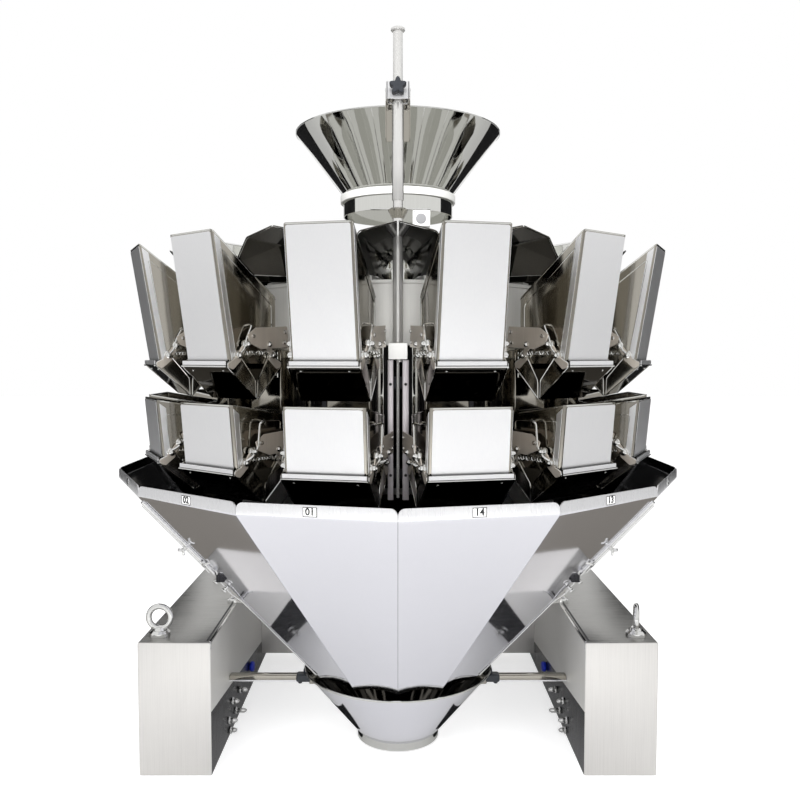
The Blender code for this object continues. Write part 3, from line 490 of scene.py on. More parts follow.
def gate_sheet(b, s, tip, foot):
    """The sloping plate of a gate with its upturned lip, folded from one sheet."""
    bm = bmesh.new()
    half = b.half + 0.003
    foot_z = b.bottom_z - 0.0055
    lip = foot + s * 0.0018
    rows = [(tip, b.tip_z + 0.0008), (foot, foot_z), (lip, foot_z + 0.0035), (lip, b.bottom_z + 0.0048)]
    left, right = ([bm.verts.new(spot(r, z, x)) for r, z in rows] for x in (-half, half))
    for i in range(len(rows) - 1):
        bm.faces.new((left[i], right[i], right[i + 1], left[i + 1]))
    skin(bm, 0.0016)
    return bm


def gate_trim(b, s, tip, foot):
    """The bright bead along a gate's lip with two round screws under it, and the pale strip on the lip."""
    bead = bmesh.new()
    half = b.half + 0.003
    z = b.bottom_z - 0.0018
    r = foot + s * 0.0034
    wire(bead, [spot(r, z - 0.0028, -half), spot(r, z - 0.0028, half)], 0.0014)
    foot_z = b.bottom_z - 0.0055
    way = (spot(foot, foot_z) - spot(tip, b.tip_z)).normalized()
    out = Vector((0, way.z, -way.y)) * -s
    for x in (0.016 - b.half, b.half - 0.016):
        base = spot(foot, foot_z, x) - way * 0.009
        rod(bead, base - out * 0.001, base + out * 0.0016, 0.0022, 10, 0.0006)
    strip = bmesh.new()
    box(strip, (0.002 - half, -r - 0.0002, z - 0.0008), (half - 0.002, -r + 0.0018, z + 0.0062), 0.0006, 1)
    return bead, strip


def gate_layers(b, s):
    tip, foot, pin = b.tip_r + s * 0.0012, b.bottom_r + 0.006, b.pivot_r
    if s < 0:
        foot, pin = b.back_r - 0.006, b.back_r + b.bottom_r - b.pivot_r
    z, low, end = b.pivot_z, b.bottom_z, b.tip_z
    bead, strip = gate_trim(b, s, tip, foot)
    # The S-shaped side wall from the tip up to the pin, and the short cast arm on it
    wall = [
        (tip, end), (foot, low - 0.006), (foot + s * 0.001, low + 0.001), (pin + s * 0.0085, z - 0.006),
        (pin + s * 0.0078, z + 0.0045), (pin + s * 0.002, z + 0.0085), (pin - s * 0.0056, z + 0.0066),
        (pin - s * 0.008, z - 0.004), (tip + s * 0.0015, end + 0.033), (tip, end + 0.025),
    ]
    arm = [
        (pin - s * 0.0055, z + 0.005), (pin + s * 0.005, z + 0.0058), (pin + s * 0.008, z - 0.006),
        (foot + s * 0.0004, low + 0.001), (foot - s * 0.0008, low - 0.0062),
        (foot - s * 0.0105, low - 0.0095), (pin - s * 0.0065, z - 0.008),
    ]
    walls = bmesh.new()
    arms = bmesh.new()
    pins = bmesh.new()
    outer = b.half + 0.0033
    for side in (-1, 1):
        x = side * (b.half + 0.003)
        plate(walls, wall, side * (b.half + 0.0008), side * outer, 0.0004)
        plate(arms, arm, side * outer, side * (outer + 0.0012), 0.0003, 0.002)
        tip_x = x + side * 0.0065
        cross_rod(pins, pin, z, x, tip_x, 0.006, 14, 0.0012)
        ball(pins, spot(pin, z, tip_x - side * 0.0006), 0.00372)
        cross_rod(pins, pin, z, x - side * 0.002, x + side * 0.0014, 0.0087, 16, 0.0004)
    reach = 0.0033
    start = (tip + s * 0.001, end + 0.002, reach)
    back = [start, (tip + s * 0.002, end + 0.033, reach), (pin - s * 0.007, z - 0.005, reach)]
    front = [start, (foot, low - 0.006, reach), (foot + s * 0.001, low + 0.001, reach),
             (pin + s * 0.0085, z - 0.006, reach)]
    edges = merged(side_wires(b, back, 0.003, 0.0008, 6), side_wires(b, front, 0.003, 0.0009, 6))
    # The gate's plate takes the mirror sheet painted nearly black as shade
    return [(gate_sheet(b, s, tip, foot), "shade"), (strip, "satin"), (merged(bead, edges), "chrome"),
            (walls, "side"), (arms, "arm"), (pins, "chrome")]


# Linkages beside the buckets


def coil(bm, start, end, radius, wire_radius, turns, steps):
    """A coil spring between two points."""
    way = end - start
    across = way.orthogonal().normalized()
    other = way.normalized().cross(across)
    points = []
    for step in range(turns * steps + 1):
        t = step / (turns * steps)
        angle = 2 * pi * turns * t
        points.append(start + way * t + (across * cos(angle) + other * sin(angle)) * radius)
    wire(bm, points, wire_radius, 5)


def link_layers(b):
    """Levers, rollers, springs and brackets between the drive box and the sides of a bucket."""
    plates = bmesh.new()
    bright = bmesh.new()
    outer_pin = b.pivot_r
    inner_pin = b.back_r + b.bottom_r - b.pivot_r
    z = b.pivot_z
    mid = (outer_pin + inner_pin) / 2
    bracket = [
        (DRIVE_R + 0.006, z + 0.014), (mid - 0.006, z + 0.01), (mid + 0.02, z + 0.02),
        (mid + 0.024, z + 0.034), (mid + 0.006, z + 0.046), (DRIVE_R + 0.01, z + 0.05),
    ]

    def out(reach):
        """A place beside the wall on the side that is being made."""
        return side * (b.half + reach)

    for side in (-1, 1):
        for pin, sense in ((outer_pin, -1), (inner_pin, 1)):
            top_r = pin + sense * 0.0135
            top_z = z + 0.0185
            lever = [(pin - 0.0062, z - 0.002), (pin + 0.0062, z - 0.002), (top_r + 0.0055, top_z),
                     (top_r - 0.0055, top_z)]
            plate(plates, lever, out(0.0054), out(0.0074), 0.0004, 0.005)
            cross_rod(bright, top_r, top_z, out(0.0036), out(0.01), 0.0074, 18, 0.0014)
            cross_rod(bright, top_r, top_z, out(0.0098), out(0.015), 0.005, 14, 0.001)
            ball(bright, spot(top_r, top_z, out(0.0146)), 0.004)
        coil(bright, spot(outer_pin - 0.012, z + 0.004, out(0.0086)),
             spot(inner_pin + 0.012, z + 0.004, out(0.0086)), 0.0032, 0.0007, 9, 8)
        plate(plates, bracket, out(0.0112), out(0.013), 0.0004)
        for r, up in ((DRIVE_R + 0.016, 0.04), (mid + 0.012, 0.032), (DRIVE_R + 0.018, 0.022)):
            cross_rod(bright, r, z + up, out(0.0126), out(0.0152), 0.0034, 12, 0.0008)
        # Push rod back to the drive box
        push = [spot(mid, z + 0.0185, out(0.0098)), spot(inner_pin - 0.006, z + 0.024, out(0.0075)),
                spot(DRIVE_R - 0.004, z + 0.026, out(-0.021))]
        wire(bright, eased(push, 0.01), 0.0022)
    return [(plates, "arm"), (bright, "chrome")]


def hook_plates(b):
    """The two hook plates on a bucket's back wall that hang it on the drive box."""
    bm = bmesh.new()
    low = 0.816 if b is FEED else 0.682
    outline = [
        (DRIVE_R - 0.001, low), (b.back_r + 0.001, low - 0.002), (b.back_r + 0.001, low + 0.044),
        (DRIVE_R - 0.001, low + 0.04), (DRIVE_R + 0.006, low + 0.026), (DRIVE_R + 0.006, low + 0.016),
    ]
    for x in (-0.028, 0.028):
        plate(bm, outline, x - 0.0025, x + 0.0025, 0.0005)
    return bm


def drive_layers():
    """The drive box of a head: its cover with flange, panels, screws and shafts, and the buckets' hooks."""
    cover = bmesh.new()
    low, high = DRIVE_Z
    half = 0.04
    inner = DRUM_R + 0.0006
    box(cover, (-half, -DRIVE_R, low), (half, -inner, high), 0.004, 3)
    flange = bmesh.new()
    box(flange, (-half - 0.006, -inner - 0.004, low + 0.004), (half + 0.006, -inner, high + 0.004), 0.0012)
    x = half - 0.006
    for z_from, z_to in ((high - 0.052, high - 0.006), (low + 0.008, low + 0.056)):
        box(flange, (-x, -DRIVE_R - 0.0012, z_from), (x, 0.001 - DRIVE_R, z_to), 0.0008, 1)
    bright = bmesh.new()
    for side in (-1, 1):
        for z in (high - 0.012, high - 0.046, low + 0.014, low + 0.05):
            out_rod(bright, z, side * (half - 0.012), DRIVE_R + 0.0008, DRIVE_R + 0.0034, 0.003, 12, 0.0008)
        for z in (low + 0.02, high - 0.012):
            out_rod(bright, z, side * (half + 0.003), inner + 0.003, inner + 0.0062, 0.0022, 10, 0.0006)
    for z in (high - 0.03, low + 0.032):
        out_rod(bright, z, 0, DRIVE_R - 0.001, DRIVE_R + 0.01, 0.0105, 20, 0.0014)
        out_rod(bright, z, 0, DRIVE_R + 0.009, DRIVE_R + 0.014, 0.005, 14, 0.001)
    hooks = merged(hook_plates(FEED), hook_plates(WEIGH))
    return [(cover, "side"), (flange, "mirror"), (bright, "chrome"), (hooks, "mirror")]


def build_heads():
    # Beside the feed bucket a bent bail holds the gate's lip, beside the weigh bucket an upright stop
    bail = [(0.47, 0.889, -0.0005), (0.472, 0.888, 0.0105), (0.484, 0.866, 0.0105), (0.488, 0.848, 0.0105),
            (0.497, 0.84, 0.0075)]
    stop = [(0.452, 0.726, -0.0005), (0.458, 0.73, 0.0125), (0.47, 0.726, 0.0125), (0.474, 0.684, 0.0125),
            (0.486, 0.67, 0.0125), (0.497, 0.664, 0.008)]
    fixed = [build("drive_box", drive_layers())]
    doors = []
    for kind, b, inset, wires in (("feed", FEED, 0.004, side_wires(FEED, bail, 0.007, 0.0018)),
                                  ("weigh", WEIGH, 0.0052, side_wires(WEIGH, stop, 0.008, 0.002))):
        # The bucket's walls take the polished sheet painted darker as shade
        fixed.append(build(kind + "_bucket", [
            (bucket_walls(b), "side"), (merged(bucket_hem(b), side_crease(b)), "mirror"),
            (merged(front_panel(b, inset), side_strips(b)), "satin")]))
        fixed.append(build(kind + "_inner_gate", gate_layers(b, -1)))
        fixed.append(build(kind + "_linkage", link_layers(b) + [(wires, "chrome")]))
        doors.append(build(kind + "_gate_door", gate_layers(b, 1)))
    for number in NUMBERS:
        tag = "_%02d" % number
        for mesh in fixed:
            steel = "satin_steel" if "bucket" in mesh.name else "polished_steel"
            show_at(number, mesh, "head" + tag, slot=steel)
        for mesh in doors:
            gate = mesh.name.replace("_door", tag)
            show_at(number, mesh, gate, body=gate)


# Chutes with their numbered flanges


def label_layers(text, width, height):
    """A flat number plate in the XZ plane facing -Y: a white sheet, a thin black frame and the number."""
    sheet = bmesh.new()
    x, z = width / 2, height / 2
    box(sheet, (-x, -0.0003, -z), (x, 0, z))
    ink = bmesh.new()
    line = width * 0.05
    for side in (-1, 1):
        box(ink, (-x, -0.0005, side * z), (x, -0.0002, side * (z - line)))
        box(ink, (side * x, -0.0005, -z), (side * (x - line), -0.0002, z))
    curve = bpy.data.curves.new("number", "FONT")
    curve.body = text
    curve.size = height
    curve.align_x = "CENTER"
    curve.align_y = "CENTER"
    curve.extrude = 0.0002
    curve.offset = height * 0.032
    writing = placed("number", curve)
    bpy.context.view_layer.update()
    flat = bpy.data.meshes.new_from_object(writing.evaluated_get(bpy.context.evaluated_depsgraph_get()))
    bpy.data.objects.remove(writing, do_unlink=True)
    bpy.data.curves.remove(curve)
    flat.transform(Matrix.Translation((0, -0.0005, 0)) @ Matrix.Rotation(pi / 2, 4, "X"))
    digits = bmesh.new()
    digits.from_mesh(flat)
    bpy.data.meshes.remove(flat)
    return [(sheet, "plate"), (ink, "ink"), (digits, "ink")]


def chute_shape():
    """One chute: a tapered wall with its upright flange, whose top corners are rounded. Its finishes are
    numbered: 0 the outside, 1 the inside, painted dark as shade, and 2 the flange, painted paler as a
    highlight."""
    bm = bmesh.new()
    half = PITCH / 2
    gap = 0.0003

    def pair(radius, z):
        """The two corners of the chute at one height."""
        x = radius * sin(half) - gap
        return [bm.verts.new((side * x, -radius * cos(half), z)) for side in (-1, 1)]

    lean = (CHUTE_R - CHUTE_LOW_R) * cos(half) / (SHOULDER_Z - CHUTE_LOW_Z)
    low_half = CHUTE_LOW_R * sin(half) - gap
    crest = pair(CHUTE_R, CHUTE_Z)
    fold = pair(CHUTE_R, SHOULDER_Z)
    scallop = []
    for step in range(9):
        share = step / 4 - 1
        lift = 0.01 * (1 - share ** 2)
        scallop.append(bm.verts.new((share * low_half, -CHUTE_LOW_R * cos(half) - lift * lean,
                                     CHUTE_LOW_Z + lift)))
    bm.faces.new((crest[0], fold[0], fold[1], crest[1]))
    bm.faces.new([fold[0]] + scallop + [fold[1]])
    bevel(bm, [bm.edges.get(fold)], 0.0025, 3)
    bevel(bm, [v for v in bm.verts if v.co.z > CHUTE_Z - MM / 10], 0.011, 5, "VERTICES")
    bmesh.ops.recalc_face_normals(bm, faces=bm.faces)
    if sum(f.normal.y > 0 for f in bm.faces) > len(bm.faces) / 2:
        bmesh.ops.reverse_faces(bm, faces=bm.faces)
    bmesh.ops.solidify(bm, geom=bm.faces[:], thickness=0.0018)
    bmesh.ops.recalc_face_normals(bm, faces=bm.faces)
    for face in bm.faces:
        across, rise = face.normal.yz
        inside = across > 0.2 and rise > -0.05 or rise > 0.3 and face.calc_area() > 0.001
        upper = face.calc_center_median().z > SHOULDER_Z + 0.0005
        face.material_index = 1 if inside else 2 if upper else 0
    return bm


# The number plates are stuck on by hand: how far four of them sit to one side
PLATE_SHIFT = {1: -0.0078, 2: 0.006, 13: -0.0034, 14: -0.002}


def build_chutes():
    base = build("chute", [(chute_shape(), ("chute", "inner", "flange"))])
    face = -CHUTE_R * cos(PITCH / 2) - 0.0002
    for number in NUMBERS:
        show_at(number, base, "chutes_left" if number <= HEADS // 2 else "chutes_right", slot="satin_steel")
        mesh = build("chute_label_%02d" % number, label_layers("%02d" % number, 0.0225, 0.015))
        mesh.transform(Matrix.Translation((PLATE_SHIFT.get(number, 0.0), face, CHUTE_Z - 0.0105)))
        mesh.transform(head_turn(number))
        show(mesh, slot="white_plastic")


# Pans, drums and cone


def build_pans():
    """Each feeder pan is one folded sheet with hemmed edges."""
    bm = bmesh.new()
    rows = []
    for r, keel, knee, knee_rise, wing_rise in ((0.15, 0.992, 0.016, 0.032, 0.04),
                                                (0.462, 0.978, 0.042, 0.059, 0.072)):
        wing = r * tan(PITCH / 2) - 0.002
        row = [(-wing, wing_rise), (-knee, knee_rise), (0, 0), (knee, knee_rise), (wing, wing_rise)]
        rows.append([bm.verts.new(spot(r, keel + rise, x)) for x, rise in row])
    inner, outer = rows
    for i in range(4):
        bm.faces.new((inner[i], inner[i + 1], outer[i + 1], outer[i]))
    bevel(bm, [bm.edges.get((inner[i], outer[i])) for i in (1, 2, 3)], 0.003, 3)
    bmesh.ops.recalc_face_normals(bm, faces=bm.faces)
    if sum(f.normal.z * f.calc_area() for f in bm.faces) < 0:
        bmesh.ops.reverse_faces(bm, faces=bm.faces)
    bmesh.ops.solidify(bm, geom=bm.faces[:], thickness=0.0018)
    bmesh.ops.recalc_face_normals(bm, faces=bm.faces)
    # Undersides take the mirror sheet painted nearly black as shade, the upper faces plain mirror
    for face in bm.faces:
        face.material_index = 1 if face.normal.z > 0.3 else 0
    hem = bmesh.new()
    edge = [(-0.1035, 1.049), (-0.042, 1.036), (0, 0.9775), (0.042, 1.036), (0.1035, 1.049)]
    wire(hem, eased([spot(0.4605, z, x) for x, z in edge], 0.006), 0.0015)
    for side in (-1, 0, 1):
        up = abs(side)
        wire(hem, [spot(0.32, 0.984 + up * 0.0462, side * 0.0302),
                   spot(0.46, 0.9775 + up * 0.0586, side * 0.042)], 0.001, 6)
    pan = build("feeder_pan", [(bm, ("shade", "mirror")), (hem, "chrome")])
    for number in NUMBERS:
        show_at(number, pan, "feeder_pans")
    hub = turned([(0.172, 1.006), (0.121, 1.006), (0.121, 0.985), (0.172, 0.985)], 48)
    show(build("pan_hub", [(hub, "mirror")]), "feeder_pans")


def build_cone():
    bm = turned([
        (0, 1.0995), (0.01, 1.0985), (0.018, 1.095), (0.186, 1.0475), (0.1915, 1.0435), (0.1915, 1.036),
        (0.189, 1.035), (0.05, 1.035), (0.05, 0.9725), (0, 0.9725),
    ], 56)
    show(build("dispersion_dish", [(bm, "mirror")]), "dispersion_cone")


# Discharge funnel and its bars


def build_outlet():
    bm = turned([(0.2046, 0.1605), (0.203, 0.1606), (0.0868, 0.0215), (0.0868, 0.0045), (0.0893, 0.0045),
                 (0.0893, 0.02)], 56)
    bmesh.ops.recalc_face_normals(bm, faces=bm.faces)
    # Faces on the inside take the mirror sheet painted nearly black as shade
    for face in bm.faces:
        face.material_index = 1 if face.calc_center_median().xy.dot(face.normal.xy) < 0 else 0
    hem = bmesh.new()
    wire(hem, [(0.2035 * s, -0.2035 * c, 0.1588) for c, s in circle(56)], 0.0021, closed=True)
    neck = turned([(0.0894, 0.02), (0.0868, 0.02), (0.0868, 0.0042), (0.0894, 0.0042)], 56)
    lugs = bmesh.new()
    for name, side in SIDES:
        box(lugs, (side * 0.172, -0.012, 0.1165), (side * 0.1958, 0.012, 0.1415), 0.003)
        bar = bmesh.new()
        box(bar, (side * 0.1964, -0.0098, 0.1222), (side * 0.3705, 0.0098, 0.1358), 0.0018)
        edge = bmesh.new()
        box(edge, (side * 0.1964, -0.0102, 0.1224), (side * 0.3705, -0.009, 0.1256), 0.0004, 1)
        clamp = bmesh.new()
        box(clamp, (side * 0.19, -0.0122, 0.1208), (side * 0.224, 0.0122, 0.1376), 0.004, 3)
        rod(clamp, (side * 0.2, 0, 0.137), (side * 0.2, 0, 0.149), 0.0085, 18, 0.003)
        rod(clamp, (side * 0.216, 0, 0.121), (side * 0.216, 0, 0.115), 0.0045, 14, 0.001)
        show(build("clamp_bar_" + name, [(bar, "side"), (edge, "flange"), (clamp, "knob")]),
             "funnel_bar_" + name, slot="satin_steel")
    layers = [(bm, ("chute", "shade")), (hem, "mirror"), (neck, "mirror"), (lugs, "side")]
    show(build("discharge_cone", layers), "discharge_funnel")


# Infeed funnel, its clamp and the mast


def build_infeed():
    neck_r, neck_z, rim_z = 0.1142, 1.1782, 1.3058
    slope = [(neck_r + 0.1008 * t, neck_z + 0.1276 * t) for t in (1.0, 0.95, 0.88, 0.70, 0.35)]
    outside = [(r + 0.0018, z) for r, z in slope]
    neck = [(neck_r, neck_z), (neck_r, 1.1322), (0.1163, 1.1322), (0.1163, neck_z - 0.0004)]
    facets = 28
    bm = turned(slope + neck + outside[::-1], facets * 4)
    # The cone is pressed in flat facets, slightly hollow, that fade out at the neck and at the round rim
    for vert in bm.verts:
        share = (vert.co.z - neck_z) / (rim_z - neck_z)
        if share > 0:
            turn = atan2(vert.co.y, vert.co.x) % (2 * pi / facets) - pi / facets
            flat = cos(pi / facets) / cos(turn)
            hollow = 1 - 0.0016 * (1 - (turn * facets / pi) ** 2)
            bent = share if share < 0.75 else max(0.12, 0.75 - (share - 0.75) * 3.2)
            factor = 1 + bent * (flat * hollow - 1)
            vert.co.x *= factor
            vert.co.y *= factor
    rim = bmesh.new()
    wire(rim, [(0.2158 * c, 0.2158 * s, 1.3048) for c, s in circle(84)], 0.0011, 6, closed=True)
    mesh = build("infeed_cone", [(bm, "mirror"), (rim, "chrome")])
    show(mesh, "infeed_funnel", body="infeed")
    mesh.set_sharp_from_angle(angle=radians(9))
    bore = 0.117
    ring = turned([(bore + 0.0056, 1.1768), (bore, 1.1768), (bore, 1.1612), (bore + 0.0056, 1.1612)], 72)
    rims = [e for e in ring.edges if abs(e.verts[0].co.z - e.verts[1].co.z) < MM / 10
            and abs(e.verts[0].co.xy.length - e.verts[1].co.xy.length) < MM / 10]
    bevel(ring, rims, 0.0014)
    show(build("white_ring", [(ring, "pom")]), "funnel_collar", body="infeed", slot="white_plastic")


def star_knob(bm, centre, radius, depth):
    """A star knob with five lobes in the XZ plane, its face towards -Y."""
    verts = []
    for step in range(40):
        angle = pi * step / 20
        r = radius * (0.8 + 0.2 * cos(5 * angle))
        verts.append(bm.verts.new(Vector(centre) + r * Vector((-sin(angle), 0, cos(angle)))))
    thicken(bm, bm.faces.new(verts), (0, -depth, 0), 0.0025, 3)


def build_arm():
    """The clamp on the mast, its star knob, the U channel behind it and the arm to the funnel."""
    y = -MAST_R
    body = bmesh.new()
    channel = bmesh.new()
    screws = bmesh.new()
    for side in (-1, 1):
        box(body, (-0.02, y + side * 0.017, 1.27), (0.02, y + side * 0.0135, 1.2995), 0.0012)
        box(body, (side * 0.02, y - 0.017, 1.27), (side * 0.0165, y + 0.017, 1.2995), 0.0012)
        box(channel, (side * 0.0212, y - 0.006, 1.207), (side * 0.0196, y + 0.0186, 1.27), 0.0005, 1)
        rod(screws, (side * 0.01935, y, 1.29), (side * 0.0215, y, 1.29), 0.0026, 12, 0.0006)
    box(channel, (-0.0118, y + 0.0165, 1.286), (0.0118, -0.219, 1.299), 0.0015)
    box(channel, (-0.0212, y + 0.017, 1.207), (0.0212, y + 0.0188, 1.299), 0.0005, 1)
    ring = turned([(0.0145, 1.2985), (0.009, 1.2985), (0.009, 1.2712), (0.0145, 1.2712)], 32, (0, y, 0))
    knob = bmesh.new()
    star_knob(knob, (0, y - 0.027, 1.285), 0.0148, 0.016)
    out_rod(knob, 1.285, 0, MAST_R + 0.0165, MAST_R + 0.0275, 0.0058, 14, 0.001)
    layers = [(body, "satin"), (ring, "chrome"), (channel, "side"), (screws, "chrome"), (knob, "knob")]
    show(build("mast_clamp", layers), "funnel_arm", body="infeed", slot="satin_steel")


def build_mast():
    y = -MAST_R
    bars = turned([
        (0, 1.3928), (0.0108, 1.3928), (0.0122, 1.3915), (0.0122, 1.3885), (0.011, 1.3872), (0.0084, 1.3868),
        (0.0084, 1.269), (0.0098, 1.269), (0.01, 1.268), (0.01, 1.104), (0.0096, 1.1031), (0.0084, 1.1031),
        (0.0084, 1.0905), (0.009, 1.072), (0.009, 0.86), (0, 0.86),
    ], 32, (0, y, 0))
    hub = turned([(0, 1.09), (0.013, 1.09), (0.0176, 1.087), (0.016, 1.083), (0.01, 1.0725), (0, 1.0721)],
                 32, (0, y, 0))
    sensor = bmesh.new()
    box(sensor, (0.0252, y - 0.0148, 1.0572), (0.0552, y + 0.0148, 1.085), 0.0025, 3)
    face = bmesh.new()
    out_rod(face, 1.0702, 0.0394, MAST_R + 0.014, MAST_R + 0.0152, 0.009, 28, 0.0003)
    out_rod(face, 1.082, 0.0285, MAST_R + 0.014, MAST_R + 0.015, 0.0012, 10)
    bracket = bmesh.new()
    box(bracket, (0.0265, y - 0.004, 1.085), (0.0596, y + 0.004, 1.0866), 0.0005, 1)
    rod(bracket, (-0.047, y, 1.0888), (0.056, y, 1.0888), 0.0019, 10, 0.0005)
    layers = [(bars, "bar"), (hub, "side"), (sensor, "case"), (face, "lens"), (bracket, "chrome")]
    show(build("mast_rod", layers), "mast")
    block = bmesh.new()
    box(block, (-0.0165, y - 0.017, 0.831), (0.0165, y + 0.017, 0.859), 0.0015)
    bolt = bmesh.new()
    rod(bolt, (0, y - 0.01, 0.8312), (0, y - 0.01, 0.8285), 0.004, 12, 0.0008)
    show(build("mast_foot", [(block, "pom"), (bolt, "chrome")]), "mast_block", slot="white_plastic")


# Base beams with their lifting eyes


def beam_shell(side):
    """A beam's box. Its inner face is a pale panel above a sloping line and painted shade below it. Its
    finishes are numbered: 0 front and outside, 1 top, 2 painted shade and 3 pale panel."""
    bm = bmesh.new()
    box(bm, (side * BEAM_IN, BEAM_Y[0], 0), (side * BEAM_OUT, BEAM_Y[1], BEAM_TOP), 0.0028, 3)
    start = Vector((0, BEAM_Y[0], 0.13))
    slant = Vector((0, 0.078, 0.684))
    bmesh.ops.bisect_plane(bm, geom=bm.verts[:] + bm.edges[:] + bm.faces[:], plane_co=start, plane_no=slant)
    for face in bm.faces:
        below = (face.calc_center_median() - start).dot(slant) < 0
        inward = face.normal.x * side < -0.9
        face.material_index = 1 if face.normal.z > 0.9 else 0 if not inward else 2 if below else 3
    return bm


def beam_trim(side):
    """The rolled lip and slot on the beam's inner top edge, its small bracket, and the couplings and blue
    plug low on its inner face."""
    bright = bmesh.new()
    x = side * (BEAM_IN + 0.0022)
    z = BEAM_TOP - 0.0016
    wire(bright, eased([(x, -0.18, z - 0.012), (x, -0.18, z), (x, 0.078, z)], 0.008), 0.0028, 10)
    box(bright, (side * (BEAM_IN + 0.0005), 0.074, BEAM_TOP - 0.004),
        (side * (BEAM_IN + 0.02), 0.086, BEAM_TOP + 0.011), 0.002)
    x = side * (BEAM_IN + 0.01)
    rod(bright, (x, 0.08, BEAM_TOP + 0.01), (x, 0.08, BEAM_TOP + 0.015), 0.0045, 6, 0.0006)
    # The slot is a thin black strip: painted shade in place of its dark inside
    slot = bmesh.new()
    box(slot, (side * (BEAM_IN + 0.0072), -0.17, BEAM_TOP - 0.001),
        (side * (BEAM_IN + 0.0112), 0.072, BEAM_TOP + 0.0004))
    wall = side * (BEAM_IN - 0.0001)
    for y, z, reach in ((-0.03, 0.044, 0.018), (0.01, 0.07, 0.014), (0.044, 0.034, 0.024),
                        (-0.016, 0.016, 0.014), (0.092, 0.062, 0.018)):
        rod(bright, (wall, y, z), (wall - side * 0.006, y, z), 0.0085, 6, 0.001)
        rod(bright, (wall - side * 0.005, y, z), (wall - side * reach, y, z), 0.0052, 14, 0.001)
        ball(bright, (wall - side * reach, y, z), 0.0044, 10)
    plug = bmesh.new()
    rod(plug, (wall, 0.24, 0.0605), (wall - side * 0.012, 0.24, 0.0605), 0.0125, 28, 0.0045)
    return bright, slot, plug


def lifting_eye(x, y, turn):
    """An eye bolt: collar, shank and ring, whose plane is turned from straight across the machine."""
    base = BEAM_TOP + 0.0003
    centre = Vector((x, y, base + 0.0373))
    ring = bmesh.new()
    points = [centre + 0.0223 * Vector((c * turn[0], c * turn[1], s)) for c, s in circle(44)]
    wire(ring, points, 0.0058, 12, closed=True)
    collar = turned([(0, base + 0.0114), (0.015, base + 0.0114), (0.0205, base + 0.007), (0.0208, base),
                     (0, base)], 28, (x, y, 0))
    shank = turned([(0, base + 0.019), (0.009, base + 0.017), (0.0125, base + 0.011), (0, base + 0.0105)],
                   24, (x, y, 0))
    return merged(ring, collar, shank)


def build_base():
    for name, side in SIDES:
        bright, slot, plug = beam_trim(side)
        turn = (1, 0) if side < 0 else (0.25, 0.968)
        eyes = [lifting_eye(side * 0.4835, y, turn) for y in (-0.139, 0.46)]
        layers = [(beam_shell(side), ("beam", "beam_top", "dark", "blasted")),
                  (merged(bright, *eyes), "chrome"), (slot, "ink"), (plug, "blue")]
        show(build("beam_shell_" + name, layers), "base_beam_" + name, slot="brushed_steel")


def build_rails():
    """The two grey rails and the thin bright rod on the drum below the mast."""
    rails = bmesh.new()
    y = -MAST_R
    for low, high in ((-0.0178, -0.0078), (0.0078, 0.019)):
        box(rails, (low, y - 0.0106, 0.5865), (high, y + 0.0106, 0.83), 0.0012)
    # The holes are black discs: painted shade in place of their dark insides
    holes = bmesh.new()
    for x in (-0.0128, 0.0134):
        for z in (0.63, 0.7, 0.788):
            out_rod(holes, z, x, MAST_R + 0.01, MAST_R + 0.011, 0.0026, 14)
    middle = bmesh.new()
    rod(middle, (0, y - 0.006, 0.59), (0, y - 0.006, 0.83), 0.0028, 14)
    rod(middle, (0.003, y - 0.01, 0.83), (0.003, y - 0.01, 0.8262), 0.0045, 12, 0.0008)
    show(build("drum_rails", [(rails, "rail"), (holes, "ink"), (middle, "bar")]))


def seam_spot(seam, share, out=0.0):
    """A point on the fold between two chutes: share runs from the top down, out is away from it."""
    angle = -seam * PITCH
    drop = SHOULDER_Z - CHUTE_LOW_Z
    run = CHUTE_R - CHUTE_LOW_R
    length = hypot(drop, run)
    r = CHUTE_R - run * share + out * drop / length
    z = SHOULDER_Z - drop * share - out * run / length
    return Vector((r * sin(angle), -r * cos(angle), z))


def build_seam_trim():
    """On the seams beside chutes 2 and 13: the double rolled edge, its wing screws, clip and thin stay."""
    for (name, side), seam in zip(SIDES, (2, 12)):
        at = partial(seam_spot, seam)
        bright = bmesh.new()
        wire(bright, [at(0.02, 0.0015), at(0.38, 0.0015)], 0.0026, 10)
        wire(bright, [at(0.03, 0.006), at(0.36, 0.006)], 0.0012)
        for share in (0.235, 0.4, 0.445):
            rod(bright, at(share, 0.001), at(share, 0.009), 0.0034, 12, 0.0008)
            rod(bright, at(share, 0.009), at(share, 0.013), 0.0052, 6, 0.001)
        way = (at(0.5) - at(0.3)).normalized()
        for tilt in (-1, 1):
            hub = at(0.235, 0.011)
            rod(bright, hub, hub + way * tilt * 0.008 + at(0.3, 0.005) - at(0.3), 0.0022, 8, 0.0008, 0.003)
        inner = Vector((-side, 0, 0))
        clip = [at(share, out) + inner * across for share, out, across in (
            (0.335, 0.004, 0), (0.3, 0.014, 0.012), (0.29, 0.01, 0.046), (0.345, 0.008, 0.066),
            (0.35, 0.006, 0.06), (0.315, 0.008, 0.026), (0.36, 0.008, 0.016), (0.38, 0.004, 0.006))]
        wire(bright, eased(clip, 0.008), 0.0021)
        stay = [at(0.4, 0.003), at(0.48, 0.0065), at(0.52, 0.0015), at(0.965, 0.0015)]
        wire(bright, eased(stay, 0.02), 0.0012)
        # The catch takes the housing steel painted dark as shade
        catch = bmesh.new()
        low = at(0.375, 0.004) + inner * 0.014
        box(catch, low - Vector((0.008, 0.004, 0.014)), low + Vector((0.008, 0.004, 0.01)), 0.0015)
        show(build("chute_catch_" + name, [(bright, "chrome"), (catch, "dark")]))


build_heads()
build_chutes()
build_pans()
build_cone()
build_outlet()
build_infeed()
build_arm()
build_mast()
build_base()
build_rails()
build_seam_trim()
